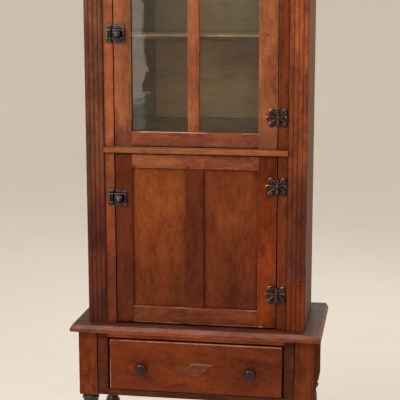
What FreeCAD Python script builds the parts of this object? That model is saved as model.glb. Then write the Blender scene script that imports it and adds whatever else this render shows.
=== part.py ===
import FreeCAD, Part
import Sketcher
import math
import os
import re

# A bakers cabinet: a tall narrow two-door cupboard (glazed door above, panelled
# door below) standing on a one-drawer stand with turned legs.
# Frame: +Z up, origin on the floor at the centre of the bounding box, front faces -Y.
# All sizes are millimetres. In the sheet, "setback" sizes run back from the front
# edge of the stand's top board, and heights run from that board's upper surface.

os.makedirs("parts", exist_ok=True)
doc = FreeCAD.newDocument("bakers_cabinet")
sheet = doc.addObject("Spreadsheet::Sheet", "Dims")

DIMS = [
    # stand
    ("base_height", "610"),        # floor to the upper surface of the top board
    ("base_front", "-182"),        # Y of the top board's front edge
    ("base_width", "762"),
    ("base_depth", "375"),
    ("top_board", "22.5"),
    ("bevel_run", "8"),
    ("bevel_drop", "12"),
    ("post_size", "57"),
    ("post_span", "720"),
    ("post_front", "23"),
    ("post_back", "358"),
    ("post_bottom", "228.3"),
    ("rail_face", "25"),
    ("rail_thick", "40"),
    ("opening_top", "41.5"),
    ("opening_bottom", "206"),
    ("lower_rail_bottom", "226"),
    ("opening_left", "268.5"),
    ("opening_right", "270.6"),
    ("filler_seam", "120"),
    ("filler_thick", "22"),
    ("apron_thick", "18"),
    ("apron_inset", "3"),
    ("tenon_long", "28"),
    ("runner_width", "34"),
    # drawer
    ("drawer_left", "262.5"),
    ("drawer_right", "265"),
    ("drawer_top", "46"),
    ("drawer_bottom", "204.4"),
    ("drawer_face", "20"),
    ("drawer_front_thick", "22"),
    ("drawer_side_thick", "12"),
    ("drawer_end", "330"),
    ("drawer_edge_round", "3"),
    ("knob_left", "161"),
    ("knob_right", "171"),
    ("knob_drop", "130.5"),
    ("knob_diameter", "38"),
    ("knob_length", "31"),
    # upper case
    ("case_half", "330"),
    ("case_face", "40.4"),
    ("case_back", "308"),
    ("case_side_top", "1318"),
    ("case_top", "1338"),
    ("side_thick", "18"),
    ("dado", "6"),
    ("back_thick", "12"),
    ("pilaster_width", "55"),
    ("pilaster_thick", "22"),
    ("reed_depth", "2.4"),
    ("repair_top", "146"),
    ("stile_face", "46.5"),
    ("stile_edge", "245"),
    ("stile_thick", "20"),
    ("shelf_front", "90"),
    ("inner_front", "69.5"),
    ("strip_bottom", "525.5"),
    ("strip_top", "541.3"),
    ("strip_front", "34.4"),
    ("face_rail_bottom", "1236"),
    ("cornice_bottom", "1278"),
    ("cornice_reach", "38"),
    # doors
    ("door_left", "241.8"),
    ("door_right", "242"),
    ("door_thick", "22"),
    ("door_stile_left", "51"),
    ("door_stile_right", "55.5"),
    ("upper_bottom", "545"),
    ("upper_top", "1232"),
    ("upper_rail_low", "589"),
    ("upper_rail_high", "1172"),
    ("bar_left", "22"),
    ("bar_right", "-12"),
    ("rebate", "8"),
    ("rebate_deep", "12"),
    ("glass_thick", "3"),
    ("lower_bottom", "5"),
    ("lower_top", "520.6"),
    ("lower_rail_low", "56"),
    ("lower_rail_high", "480.5"),
    ("mullion_left", "29.8"),
    ("mullion_right", "24.6"),
    ("panel_thick", "9"),
    ("panel_setback", "8"),
    ("door_tenon", "32"),
    # hinges
    ("hinge_x", "243.5"),
    ("hinge_y", "41.2"),
    ("barrel_radius", "5.1"),
    ("barrel_length", "43"),
    ("pin_radius", "2.3"),
    ("pin_play", "0.05"),
    ("leaf_thick", "2.2"),
    # latches
    ("latch_x", "228.5"),
    ("latch_width", "35"),
    ("latch_plate_upper", "56"),
    ("latch_plate_lower", "49"),
    ("latch_upper", "874"),
    ("latch_lower", "389"),
    ("latch_knob", "26"),
]
for i, (name, value) in enumerate(DIMS):
    cell = "B%d" % (i + 2)
    sheet.set("A%d" % (i + 2), name.replace("_", " "))
    sheet.set(cell, value)
    sheet.setAlias(cell, name)
doc.recompute()
D = {name: float(value) for name, value in DIMS}
NAMES = sorted(D, key=len, reverse=True)
PARTS = []


def E(text):
    """An expression in sheet aliases."""
    return re.sub(r"[a-z][a-z_]*", lambda m: "Dims." + m.group(0), str(text))


def ex(obj, prop, text):
    obj.setExpression(prop, E(text))


def keep(obj, label):
    obj.Label = label
    PARTS.append(obj)
    return obj


def at_y(text):
    return "base_front+(%s)" % text


def at_z(text):
    return "base_height+(%s)" % text


def box(label, x, y, z):
    """A board between two X, two Y (setback) and two Z (height) expressions."""
    o = doc.addObject("Part::Box", label)
    o.Label = label
    ex(o, "Length", "(%s)-(%s)" % (x[1], x[0]))
    ex(o, "Width", "(%s)-(%s)" % (y[1], y[0]))
    ex(o, "Height", "(%s)-(%s)" % (z[1], z[0]))
    ex(o, "Placement.Base.x", x[0])
    ex(o, "Placement.Base.y", at_y(y[0]))
    ex(o, "Placement.Base.z", at_z(z[0]))
    return o


def fuse(label, shapes):
    o = doc.addObject("Part::MultiFuse", label)
    o.Shapes = shapes
    o.Label = label
    return o


def cut(label, base, tools):
    tool = tools[0] if len(tools) == 1 else fuse(label + "_tools", tools)
    o = doc.addObject("Part::Cut", label)
    o.Base = base
    o.Tool = tool
    o.Label = label
    return o


def copy_of(obj, label, x=0.0, y=0.0, z=0.0, rot=None):
    """The same piece again, at its own place."""
    o = doc.addObject("App::Link", label)
    o.LinkedObject = obj
    o.Placement = FreeCAD.Placement(FreeCAD.Vector(x, y, z), rot or FreeCAD.Rotation())
    o.Label = label
    return o


def group(label, shapes):
    o = doc.addObject("Part::Compound", label)
    o.Links = shapes
    return keep(o, label)


def body(label):
    b = doc.addObject("PartDesign::Body", label)
    b.Label = label
    return b


def plane(b, role):
    return [f for f in b.Origin.OriginFeatures if f.Role == role][0]


def sketch(b, role, geometry, offset=0.0, name=None):
    s = b.newObject("Sketcher::SketchObject", name or (b.Label + "_sketch"))
    s.AttachmentSupport = [(plane(b, role), "")]
    s.MapMode = "FlatFace"
    if offset:
        s.AttachmentOffset = FreeCAD.Placement(FreeCAD.Vector(0, 0, offset), FreeCAD.Rotation())
    s.addGeometry(geometry, False)
    return s


def rect_sketch(b, role, w, d, x0="0", y0="0", offset=0.0, name=None):
    """A rectangle whose sides and corner are bound to the sheet."""
    V = FreeCAD.Vector
    p = [V(0, 0, 0), V(50, 0, 0), V(50, 40, 0), V(0, 40, 0)]
    s = sketch(b, role, [Part.LineSegment(p[i], p[(i + 1) % 4]) for i in range(4)], offset, name)
    for i in range(4):
        s.addConstraint(Sketcher.Constraint("Coincident", i, 2, (i + 1) % 4, 1))
    s.addConstraint(Sketcher.Constraint("Horizontal", 0))
    s.addConstraint(Sketcher.Constraint("Horizontal", 2))
    s.addConstraint(Sketcher.Constraint("Vertical", 1))
    s.addConstraint(Sketcher.Constraint("Vertical", 3))
    n = s.addConstraint(Sketcher.Constraint("DistanceX", 0, 1, 0, 2, 50))
    s.renameConstraint(n, "width")
    n = s.addConstraint(Sketcher.Constraint("DistanceY", 1, 1, 1, 2, 40))
    s.renameConstraint(n, "depth")
    n = s.addConstraint(Sketcher.Constraint("DistanceX", -1, 1, 0, 1, 1))
    s.renameConstraint(n, "left")
    n = s.addConstraint(Sketcher.Constraint("DistanceY", -1, 1, 0, 1, 1))
    s.renameConstraint(n, "front")
    ex(s, "Constraints.width", w)
    ex(s, "Constraints.depth", d)
    ex(s, "Constraints.left", x0)
    ex(s, "Constraints.front", y0)
    return s


def pad(b, s, length, name=None):
    p = b.newObject("PartDesign::Pad", name or (b.Label + "_pad"))
    p.Profile = s
    ex(p, "Length", length)
    return p


def lines(points):
    V = FreeCAD.Vector
    p = [V(a[0], a[1], 0) for a in points]
    return [Part.LineSegment(p[i], p[(i + 1) % len(p)]) for i in range(len(p))]


def place(o, x=None, y=None, z=None):
    if x is not None:
        ex(o, "Placement.Base.x", x)
    if y is not None:
        ex(o, "Placement.Base.y", at_y(y))
    if z is not None:
        ex(o, "Placement.Base.z", at_z(z))
    return o


# ---------------------------------------------------------------- legs
# Local frame of a leg: the turning axis is Z, 0 at the floor.
LEG = D["base_height"] - D["post_bottom"]


def leg_outline():
    """The turned profile: radius against height, from the foot up to the block."""
    V = FreeCAD.Vector
    g = []

    def seg(a, b):
        g.append(Part.LineSegment(V(a[0], a[1], 0), V(b[0], b[1], 0)))

    def arc(a, m, b):
        g.append(Part.Arc(V(a[0], a[1], 0), V(m[0], m[1], 0), V(b[0], b[1], 0)))

    def spline(points):
        c = Part.BSplineCurve()
        c.interpolate([V(r, z, 0) for r, z in points])
        g.append(c)

    top = LEG
    seg((0, 0), (15, 0))
    arc((15, 0), (23.5, 24), (15.5, 47))                       # ball foot
    seg((15.5, 47), (19, 50))
    arc((19, 50), (22, 54), (19, 58))                          # ankle ring
    seg((19, 58), (15, 62))
    spline([(15, 62), (17.5, 92), (21.5, 132), (25.5, 172), (27.8, 207),
            (27.5, 232), (25, 251), (20.5, 264), (16.5, top - 111)])   # long vase
    spline([(16.5, top - 111), (19.2, top - 103), (21.2, top - 82), (19.8, top - 62), (17.8, top - 51)])
    spline([(17.8, top - 51), (18.6, top - 46), (20.5, top - 42)])
    seg((20.5, top - 42), (22.5, top - 41))
    arc((22.5, top - 41), (25.2, top - 34), (22.5, top - 27))  # lower bead
    seg((22.5, top - 27), (20, top - 25.5))
    seg((20, top - 25.5), (20, top - 23))
    seg((20, top - 23), (23, top - 22))
    arc((23, top - 22), (26.4, top - 14), (23, top - 6))       # upper bead
    seg((23, top - 6), (20.5, top - 4.5))
    seg((20.5, top - 4.5), (20.5, top - 1.5))
    seg((20.5, top - 1.5), (25, top))
    seg((25, top), (25, top + 10))
    seg((25, top + 10), (0, top + 10))
    seg((0, top + 10), (0, 0))
    return g


def leg(label, x, y, mortises):
    b = body(label + "_stock")
    s = sketch(b, "XZ_Plane", leg_outline(), name=label + "_turning")
    r = b.newObject("PartDesign::Revolution", label + "_turned")
    r.Profile = s
    r.ReferenceAxis = (s, ["V_Axis"])
    r.Angle = 360
    doc.recompute()
    q = rect_sketch(b, "XY_Plane", "post_size", "post_size", "-post_size/2", "-post_size/2",
                    name=label + "_square")
    ex(q, "AttachmentOffset.Base.z", "base_height-post_bottom")
    pad(b, q, "post_bottom-top_board", label + "_block")
    doc.recompute()
    ex(b, "Placement.Base.x", x)
    ex(b, "Placement.Base.y", at_y(y))
    return keep(cut(label, b, mortises), label)


PL = "-post_span/2"
PR = "post_span/2"
INL = "-post_span/2+post_size"
INR = "post_span/2-post_size"
HALF = "post_size/2"
# tenons of the rails and aprons, cut out of the posts as mortises
YT = ("rail_face+12", "rail_face+28")
ZU = ("-opening_top+4", "-top_board-4")
ZLR = ("-lower_rail_bottom+4", "-opening_bottom-4")
ZA = ("-lower_rail_bottom+20", "-top_board-20")
YB = ("post_back-apron_inset-apron_thick+5", "post_back-apron_inset-5")
XL = ("-post_span/2+apron_inset+5", "-post_span/2+apron_inset+apron_thick-5")
XR = ("post_span/2-apron_inset-apron_thick+5", "post_span/2-apron_inset-5")
FY = ("post_front+post_size-tenon_long", "post_front+post_size")
RY = ("post_back-post_size", "post_back-post_size+tenon_long")
LX = (INL + "-tenon_long", INL)
RX = (INR, INR + "+tenon_long")


def tenon(label, x, y, z):
    return box(label, x, y, z)


# the rear apron's tenons stop short of the side aprons' ones
RLX = (INL + "-tenon_long/2", INL)
RRX = (INR, INR + "+tenon_long/2")

leg("leg_front_left", PL + "+" + HALF, "post_front+" + HALF,
    [tenon("mortise_fl_upper", LX, YT, ZU), tenon("mortise_fl_lower", LX, YT, ZLR),
     tenon("mortise_fl_side", XL, FY, ZA)])
leg("leg_front_right", PR + "-" + HALF, "post_front+" + HALF,
    [tenon("mortise_fr_upper", RX, YT, ZU), tenon("mortise_fr_lower", RX, YT, ZLR),
     tenon("mortise_fr_side", XR, FY, ZA)])
leg("leg_rear_left", PL + "+" + HALF, "post_back-" + HALF,
    [tenon("mortise_rl_side", XL, RY, ZA), tenon("mortise_rl_back", RLX, YB, ZA)])
leg("leg_rear_right", PR + "-" + HALF, "post_back-" + HALF,
    [tenon("mortise_rr_side", XR, RY, ZA), tenon("mortise_rr_back", RRX, YB, ZA)])

# ---------------------------------------------------------------- top board of the stand
b = body("base_top_board")
s = rect_sketch(b, "XY_Plane", "base_width", "base_depth", "-base_width/2", "base_front", name="top_board_outline")
pad(b, s, "top_board-bevel_drop", "top_board_square_edge")
doc.recompute()
s1 = rect_sketch(b, "XY_Plane", "base_width", "base_depth", "-base_width/2", "base_front", name="bevel_low")
ex(s1, "AttachmentOffset.Base.z", "top_board-bevel_drop")
s2 = rect_sketch(b, "XY_Plane", "base_width-2*bevel_run", "base_depth-bevel_run",
                 "-base_width/2+bevel_run", "base_front+bevel_run", name="bevel_high")
ex(s2, "AttachmentOffset.Base.z", "top_board")
doc.recompute()
lo = b.newObject("PartDesign::AdditiveLoft", "top_board_bevel")
lo.Profile = s1
lo.Sections = [(s2, [""])]
lo.Ruled = True
doc.recompute()
ex(b, "Placement.Base.z", at_z("-top_board"))
keep(b, "base_top_board")

# ---------------------------------------------------------------- rails, fillers and aprons
rail_u = fuse("front_rail_upper", [
    box("rail_upper_board", (INL, INR), ("rail_face", "rail_face+rail_thick"), ("-opening_top", "-top_board")),
    tenon("rail_upper_tenon_l", LX, YT, ZU), tenon("rail_upper_tenon_r", RX, YT, ZU)])
rail_l = fuse("front_rail_lower", [
    box("rail_lower_board", (INL, INR), ("rail_face", "rail_face+rail_thick"), ("-lower_rail_bottom", "-opening_bottom")),
    tenon("rail_lower_tenon_l", LX, YT, ZLR), tenon("rail_lower_tenon_r", RX, YT, ZLR)])
group("base_front_rails", [rail_u, rail_l])

FILL = ("rail_face+1", "rail_face+1+filler_thick")
group("base_filler_stiles", [
    box("filler_left_upper", (INL, "-opening_left"), FILL, ("-filler_seam", "-opening_top")),
    box("filler_left_lower", (INL, "-opening_left"), FILL, ("-opening_bottom", "-filler_seam-0.6")),
    box("filler_right_upper", ("opening_right", INR), FILL, ("-filler_seam", "-opening_top")),
    box("filler_right_lower", ("opening_right", INR), FILL, ("-opening_bottom", "-filler_seam-0.6"))])

ZAB = ("-lower_rail_bottom", "-top_board")
YAP = ("post_front+post_size", "post_back-post_size")
side_l = fuse("side_apron_left", [
    box("apron_left_board", (PL + "+apron_inset", PL + "+apron_inset+apron_thick"), YAP, ZAB),
    tenon("apron_left_tenon_f", XL, FY, ZA), tenon("apron_left_tenon_r", XL, RY, ZA)])
side_r = fuse("side_apron_right", [
    box("apron_right_board", (PR + "-apron_inset-apron_thick", PR + "-apron_inset"), YAP, ZAB),
    tenon("apron_right_tenon_f", XR, FY, ZA), tenon("apron_right_tenon_r", XR, RY, ZA)])
group("base_side_aprons", [side_l, side_r])
keep(fuse("base_back_apron", [
    box("apron_back_board", (INL, INR), ("post_back-apron_inset-apron_thick", "post_back-apron_inset"), ZAB),
    tenon("apron_back_tenon_l", RLX, YB, ZA), tenon("apron_back_tenon_r", RRX, YB, ZA)]), "base_back_apron")

# drawer runners (with the guide strip on their outer edge) and kickers
RUNY = ("rail_face+rail_thick", "post_back-apron_inset-apron_thick")
DL = "-drawer_left-0.2"
DR = "drawer_right+0.2"
run_l = fuse("runner_left", [
    box("runner_left_board", (INL, DL + "+runner_width"), RUNY, ("-lower_rail_bottom", "-opening_bottom")),
    box("runner_left_guide", (INL, DL), RUNY, ("-opening_bottom", "-opening_bottom+18"))])
run_r = fuse("runner_right", [
    box("runner_right_board", (DR + "-runner_width", INR), RUNY, ("-lower_rail_bottom", "-opening_bottom")),
    box("runner_right_guide", (DR, INR), RUNY, ("-opening_bottom", "-opening_bottom+18"))])
group("drawer_runners", [run_l, run_r])
group("drawer_kickers", [
    box("kicker_left", (INL, DL + "+runner_width"), RUNY, ("-opening_top-5", "-top_board")),
    box("kicker_right", (DR + "-runner_width", INR), RUNY, ("-opening_top-5", "-top_board"))])

# ---------------------------------------------------------------- drawer
b = body("drawer_front_stock")
s = rect_sketch(b, "XZ_Plane", "drawer_left+drawer_right", "drawer_bottom-drawer_top",
                "-drawer_left", "base_height-drawer_bottom", name="drawer_front_outline")
p = pad(b, s, "drawer_front_thick", "drawer_front_board")
doc.recompute()
yb = p.Shape.BoundBox
front_y = yb.YMin
edges = []
for i, e in enumerate(p.Shape.Edges):
    bb = e.BoundBox
    if abs(bb.YMin - front_y) < 1e-6 and abs(bb.YMax - front_y) < 1e-6:
        edges.append("Edge%d" % (i + 1))
f = b.newObject("PartDesign::Fillet", "drawer_front_round")
f.Base = (p, edges)
ex(f, "Radius", "drawer_edge_round")
doc.recompute()
ex(b, "Placement.Base.y", "base_front+drawer_face+drawer_front_thick" if front_y < -1 else "base_front+drawer_face")
DSL = ("-drawer_left+1.5", "-drawer_left+1.5+drawer_side_thick")
DSR = ("drawer_right-1.5-drawer_side_thick", "drawer_right-1.5")
DF = "drawer_face+drawer_front_thick"
DZ = ("-drawer_bottom-1.3", "-drawer_top-8")
LAP = "12"
keep(cut("drawer_front", b, [
    box("lap_left", DSL, (DF + "-" + LAP, DF), ("-drawer_bottom-2", "-drawer_top-8")),
    box("lap_right", DSR, (DF + "-" + LAP, DF), ("-drawer_bottom-2", "-drawer_top-8")),
    box("front_groove", ("-drawer_left+13.5", "drawer_right-13.5"), (DF + "-6", DF), ("-drawer_bottom+9", "-drawer_bottom+15")),
    ]), "drawer_front")


def drawer_side(label, X, gx):
    return cut(label, box(label + "_board", X, (DF + "-" + LAP, "drawer_end"), DZ), [
        box(label + "_groove", gx, (DF, "drawer_end"), ("-drawer_bottom+9", "-drawer_bottom+15")),
        box(label + "_housing", gx, ("drawer_end-22", "drawer_end-12"), ("-drawer_bottom+15", "-drawer_top-8"))])


group("drawer_sides", [
    drawer_side("drawer_side_left", DSL, ("-drawer_left+8.5", "-drawer_left+13.5")),
    drawer_side("drawer_side_right", DSR, ("drawer_right-13.5", "drawer_right-8.5"))])
keep(box("drawer_back", ("-drawer_left+8.5", "drawer_right-8.5"), ("drawer_end-22", "drawer_end-12"),
         ("-drawer_bottom+15", "-drawer_top-8")), "drawer_back")
keep(fuse("drawer_bottom", [
    box("drawer_bottom_board", ("-drawer_left+8.5", "drawer_right-8.5"), (DF, "drawer_end"), ("-drawer_bottom+9", "-drawer_bottom+15")),
    box("drawer_bottom_lip", ("-drawer_left+13.5", "drawer_right-13.5"), (DF + "-6", DF), ("-drawer_bottom+9", "-drawer_bottom+15"))]),
    "drawer_bottom")

# applied lozenge: a raised parallelogram with a bevelled edge
b = body("drawer_lozenge")
LOZ = [(-52.5, 464.5), (17.5, 461.8), (58.5, 499.3), (-7.5, 500.5)]
s = sketch(b, "XZ_Plane", lines(LOZ), name="lozenge_outline")
p = pad(b, s, "4", "lozenge_board")
doc.recompute()
c = b.newObject("PartDesign::Chamfer", "lozenge_bevel")
face_y = p.Shape.BoundBox.YMin
ids = []
for i, e in enumerate(p.Shape.Edges):
    bb = e.BoundBox
    if abs(bb.YMin - face_y) < 1e-6 and abs(bb.YMax - face_y) < 1e-6:
        ids.append("Edge%d" % (i + 1))
c.Base = (p, ids)
c.Size = 1.6
doc.recompute()
ex(b, "Placement.Base.y", "base_front+drawer_face")
keep(b, "drawer_lozenge")


# turned wooden knob, with its own tenon glued into the drawer front
def knob(label, x):
    k = body(label)
    R = D["knob_diameter"] / 2
    L = D["knob_length"]
    V = FreeCAD.Vector
    g = [Part.LineSegment(V(0, -10, 0), V(6.5, -10, 0)),
         Part.LineSegment(V(6.5, -10, 0), V(6.5, 0, 0)),
         Part.LineSegment(V(6.5, 0, 0), V(11, 0, 0)),
         Part.Arc(V(11, 0, 0), V(8.6, 5.5, 0), V(10.5, 10.5, 0))]
    c1 = Part.BSplineCurve()
    pts = [V(10.5, 10.5, 0), V(16.6, 13.4, 0), V(R, 19.5, 0), V(17.2, 25.4, 0), V(11.5, 29.0, 0), V(0, L, 0)]
    c1.interpolate(Points=pts, Tangents=[V(0.6, 1, 0)] + [V(0, 0, 0)] * 4 + [V(-1, 0, 0)],
                   TangentFlags=[True] + [False] * 4 + [True])
    g += [c1, Part.LineSegment(V(0, L, 0), V(0, -10, 0))]
    s = sketch(k, "XY_Plane", g, name=label + "_turning")
    r = k.newObject("PartDesign::Revolution", label + "_turned")
    r.Profile = s
    r.ReferenceAxis = (s, ["V_Axis"])
    r.Angle = 360
    doc.recompute()
    k.Placement = FreeCAD.Placement(FreeCAD.Vector(0, 0, 0), FreeCAD.Rotation(FreeCAD.Vector(1, 0, 0), 180))
    ex(k, "Placement.Base.x", x)
    ex(k, "Placement.Base.y", at_y("drawer_face"))
    ex(k, "Placement.Base.z", at_z("-knob_drop"))
    return k


kl = knob("drawer_knob_left", "-knob_left")
kr = knob("drawer_knob_right", "knob_right")
front = PARTS[[q.Label for q in PARTS].index("drawer_front")]
bores = []
for n, x in (("left", "-knob_left"), ("right", "knob_right")):
    h = doc.addObject("Part::Cylinder", "knob_bore_" + n)
    h.Label = "knob_bore_" + n
    h.Radius = 6.5
    h.Height = 10
    h.Placement = FreeCAD.Placement(FreeCAD.Vector(0, 0, 0), FreeCAD.Rotation(FreeCAD.Vector(1, 0, 0), -90))
    ex(h, "Placement.Base.x", x)
    ex(h, "Placement.Base.y", at_y("drawer_face"))
    ex(h, "Placement.Base.z", at_z("-knob_drop"))
    bores.append(h)
PARTS.remove(front)
front.Label = "drawer_front_laps"
keep(cut("drawer_front_bored", front, bores), "drawer_front")
group("drawer_knobs", [kl, kr])

# ---------------------------------------------------------------- upper case
SL = ("-case_half", "-case_half+side_thick")
SR = ("case_half-side_thick", "case_half")
DLX = ("-case_half+side_thick-dado", "-case_half+side_thick")
DRX = ("case_half-side_thick", "case_half-side_thick+dado")
YI = ("case_face+pilaster_thick", "case_back")
BACKY = ("case_back-back_thick", "case_back")
SHELVES = {
    "bottom": ("0", "20", "inner_front"),
    "middle": ("523", "543", "inner_front"),
    "upper": ("857", "871.5", "shelf_front"),
    "lower": ("256", "271", "shelf_front"),
}


def case_side(label, X, DX):
    tools = [box(label + "_rabbet", DX, BACKY, ("0", "case_side_top"))]
    for n in sorted(SHELVES):
        z0, z1, y0 = SHELVES[n]
        tools.append(box(label + "_dado_" + n, DX, (y0, "case_back-back_thick"), (z0, z1)))
    return keep(cut(label, box(label + "_board", X, YI, ("0", "case_side_top")), tools), label)


case_side("case_side_left", SL, DLX)
case_side("case_side_right", SR, DRX)
INX = ("-case_half+side_thick-dado", "case_half-side_thick+dado")
seams = ["0", "188", "392", "605", "848", "1082", "case_side_top"]
group("case_back_boards", [
    box("back_board_%d" % (i + 1), INX, BACKY, (seams[i] + ("+0.5" if i else ""), seams[i + 1]))
    for i in range(6)])
keep(box("case_bottom_board", INX, ("inner_front", "case_back-back_thick"), ("0", "20")), "case_bottom_board")
keep(fuse("case_middle_shelf", [
    box("middle_shelf_board", INX, ("inner_front", "case_back-back_thick"), ("523", "543")),
    box("middle_shelf_nose", ("-stile_edge", "stile_edge"), ("stile_face", "inner_front"), ("523", "543"))]),
    "case_middle_shelf")
group("case_shelves", [
    box("upper_shelf", INX, ("shelf_front", "case_back-back_thick"), ("857", "871.5")),
    box("lower_shelf", INX, ("shelf_front", "case_back-back_thick"), ("256", "271"))])
keep(box("case_top_board", ("-case_half", "case_half"), ("case_face", "case_back"), ("case_side_top", "case_top")),
     "case_top_board")


def pilaster(label, x0, z0, z1):
    """A reeded board: four rounded reeds between sharp valleys on the front face."""
    b = body(label)
    V = FreeCAD.Vector
    W = D["pilaster_width"]
    T = D["pilaster_thick"]
    r = D["reed_depth"]
    g = []
    n = 4
    w = W / n
    for i in range(n):
        a = V(i * w, r, 0)
        c = V((i + 1) * w, r, 0)
        m = V((i + 0.5) * w, 0, 0)
        g.append(Part.Arc(a, m, c))
    g.append(Part.LineSegment(V(W, r, 0), V(W, T, 0)))
    g.append(Part.LineSegment(V(W, T, 0), V(0, T, 0)))
    g.append(Part.LineSegment(V(0, T, 0), V(0, r, 0)))
    s = sketch(b, "XY_Plane", g, name=label + "_section")
    pad(b, s, "(%s)-(%s)" % (z1, z0), label + "_length")
    doc.recompute()
    place(b, x0, "case_face", z0)
    return keep(b, label)


pilaster("pilaster_left", "-case_half", "0", "case_side_top")
pilaster("pilaster_right", "case_half-pilaster_width", "repair_top+0.5", "case_side_top")
pilaster("pilaster_right_repair", "case_half-pilaster_width", "0", "repair_top")

STY = ("stile_face", "stile_face+stile_thick")
keep(box("face_stile_left", ("-case_half+pilaster_width", "-stile_edge"), STY, ("0", "case_side_top")), "face_stile_left")
keep(box("face_stile_right", ("stile_edge", "case_half-pilaster_width"), STY, ("0", "case_side_top")), "face_stile_right")
keep(box("face_rail_top", ("-stile_edge", "stile_edge"), STY, ("face_rail_bottom", "case_side_top")), "face_rail_top")

# projecting strip between the two doors, its front edge rounded over
b = body("middle_strip")
s = rect_sketch(b, "XY_Plane", "2*case_half-2*pilaster_width", "stile_face-strip_front", "-case_half+pilaster_width", "0",
                name="strip_outline")
p = pad(b, s, "strip_top-strip_bottom", "strip_board")
doc.recompute()
ids = []
for i, e in enumerate(p.Shape.Edges):
    bb = e.BoundBox
    if bb.XLength > 100 and abs(bb.YMax) < 1e-6:
        ids.append("Edge%d" % (i + 1))
f = b.newObject("PartDesign::Fillet", "strip_round")
f.Base = (p, ids)
f.Radius = 4
doc.recompute()
place(b, None, "strip_front", "strip_bottom")
keep(b, "middle_strip")

# ---------------------------------------------------------------- cornice
CP = [(0, 0), (3, 0), (3, 5), (6, 8)]
REACH = D["cornice_reach"]


def cornice_profile(sign):
    """Outward reach against height: small fillet, cove and a square top fillet."""
    V = FreeCAD.Vector
    H = D["case_top"] - D["cornice_bottom"]
    pts = [(0, 0), (4, 0), (4, 6)]
    g = [Part.LineSegment(V(sign * a[0], a[1], 0), V(sign * c[0], c[1], 0)) for a, c in zip(pts, pts[1:])]
    g.append(Part.Arc(V(sign * 4, 6, 0), V(sign * 12.5, 30, 0), V(sign * 32, 44, 0)))
    rest = [(32, 44), (REACH, 44), (REACH, H), (0, H), (0, 0)]
    g += [Part.LineSegment(V(sign * a[0], a[1], 0), V(sign * c[0], c[1], 0)) for a, c in zip(rest, rest[1:])]
    return g


def mitre_box(label, x, angle):
    """A block with one face on the mitre plane through a front corner of the case."""
    m = doc.addObject("Part::Box", label)
    m.Label = label
    m.Length = 200
    m.Width = 200
    m.Height = 100
    m.Placement = FreeCAD.Placement(FreeCAD.Vector(0, 0, 0), FreeCAD.Rotation(FreeCAD.Vector(0, 0, 1), angle))
    ex(m, "Placement.Base.x", x)
    ex(m, "Placement.Base.y", at_y("case_face"))
    ex(m, "Placement.Base.z", at_z("cornice_bottom-10"))
    return m


b = body("cornice_front_stock")
s = sketch(b, "YZ_Plane", cornice_profile(-1), name="cornice_front_profile")
p = pad(b, s, "2*case_half+2*cornice_reach+4", "cornice_front_length")
doc.recompute()
place(b, "-case_half-cornice_reach-2", "case_face", "cornice_bottom")
cf = cut("cornice_front_moulding", b, [mitre_box("mitre_front_left", "-case_half", 135), mitre_box("mitre_front_right", "case_half", -45)])
cf = fuse("cornice_front", [cf, box("cornice_backing", ("-case_half+pilaster_width", "case_half-pilaster_width"),
                                    ("case_face", "stile_face"), ("cornice_bottom", "case_side_top"))])
b = body("cornice_left_stock")
s = sketch(b, "XZ_Plane", cornice_profile(-1), name="cornice_left_profile")
p = pad(b, s, "case_back-case_face+cornice_reach+2", "cornice_left_length")
doc.recompute()
ly = p.Shape.BoundBox
place(b, "-case_half", "case_back" if ly.YMin < -1 else "case_face-cornice_reach-2", "cornice_bottom")
cl = cut("cornice_left", b, [mitre_box("mitre_side_left", "-case_half", 225)])
b = body("cornice_right_stock")
s = sketch(b, "XZ_Plane", cornice_profile(1), name="cornice_right_profile")
p = pad(b, s, "case_back-case_face+cornice_reach+2", "cornice_right_length")
doc.recompute()
place(b, "case_half", "case_back" if p.Shape.BoundBox.YMin < -1 else "case_face-cornice_reach-2", "cornice_bottom")
cr = cut("cornice_right", b, [mitre_box("mitre_side_right", "case_half", 225)])
# each return keeps only what lies behind its mitre plane
doc.recompute()
keep(cf, "cornice_front")
group("cornice_returns", [cl, cr])

# ---------------------------------------------------------------- doors
DX0 = "-door_left"
DX1 = "door_right"
DIL = "-door_left+door_stile_left"
DIR = "door_right-door_stile_right"
DY = ("stile_face", "stile_face+door_thick")
TY = ("stile_face+7", "stile_face+15")
RBY = ("stile_face+door_thick-rebate_deep", "stile_face+door_thick")
UZ = ("upper_bottom", "upper_top")
TLX = (DIL + "-door_tenon", DIL)
TRX = (DIR, DIR + "+door_tenon")
UT = {"low": ("upper_bottom+5", "upper_rail_low-rebate-2"), "high": ("upper_rail_high+rebate+4", "upper_top-6")}
GZ = ("upper_rail_low-rebate", "upper_rail_high+rebate")
keep(cut("upper_door_stile_left", box("uds_left_board", (DX0, DIL), DY, UZ), [
    box("uds_left_rebate", (DIL + "-rebate", DIL), RBY, GZ),
    box("uds_left_mortise_low", TLX, TY, UT["low"]), box("uds_left_mortise_high", TLX, TY, UT["high"])]),
    "upper_door_stile_left")
keep(cut("upper_door_stile_right", box("uds_right_board", (DIR, DX1), DY, UZ), [
    box("uds_right_rebate", (DIR, DIR + "+rebate"), RBY, GZ),
    box("uds_right_mortise_low", TRX, TY, UT["low"]), box("uds_right_mortise_high", TRX, TY, UT["high"])]),
    "upper_door_stile_right")
BL = "-bar_left"
BR = "-bar_right"
BTX = ("-bar_left+11", "-bar_right-11")
BTY = ("stile_face+3", "stile_face+8")


def upper_rail(label, z, rebate_z, key, tongue):
    base = fuse(label + "_stock", [
        box(label + "_board", (DIL, DIR), DY, z),
        box(label + "_tenon_l", TLX, TY, UT[key]), box(label + "_tenon_r", TRX, TY, UT[key])])
    return keep(cut(label, base, [
        box(label + "_rebate", (DIL, DIR), RBY, rebate_z),
        box(label + "_bar_mortise", BTX, BTY, tongue)]), label)


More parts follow.
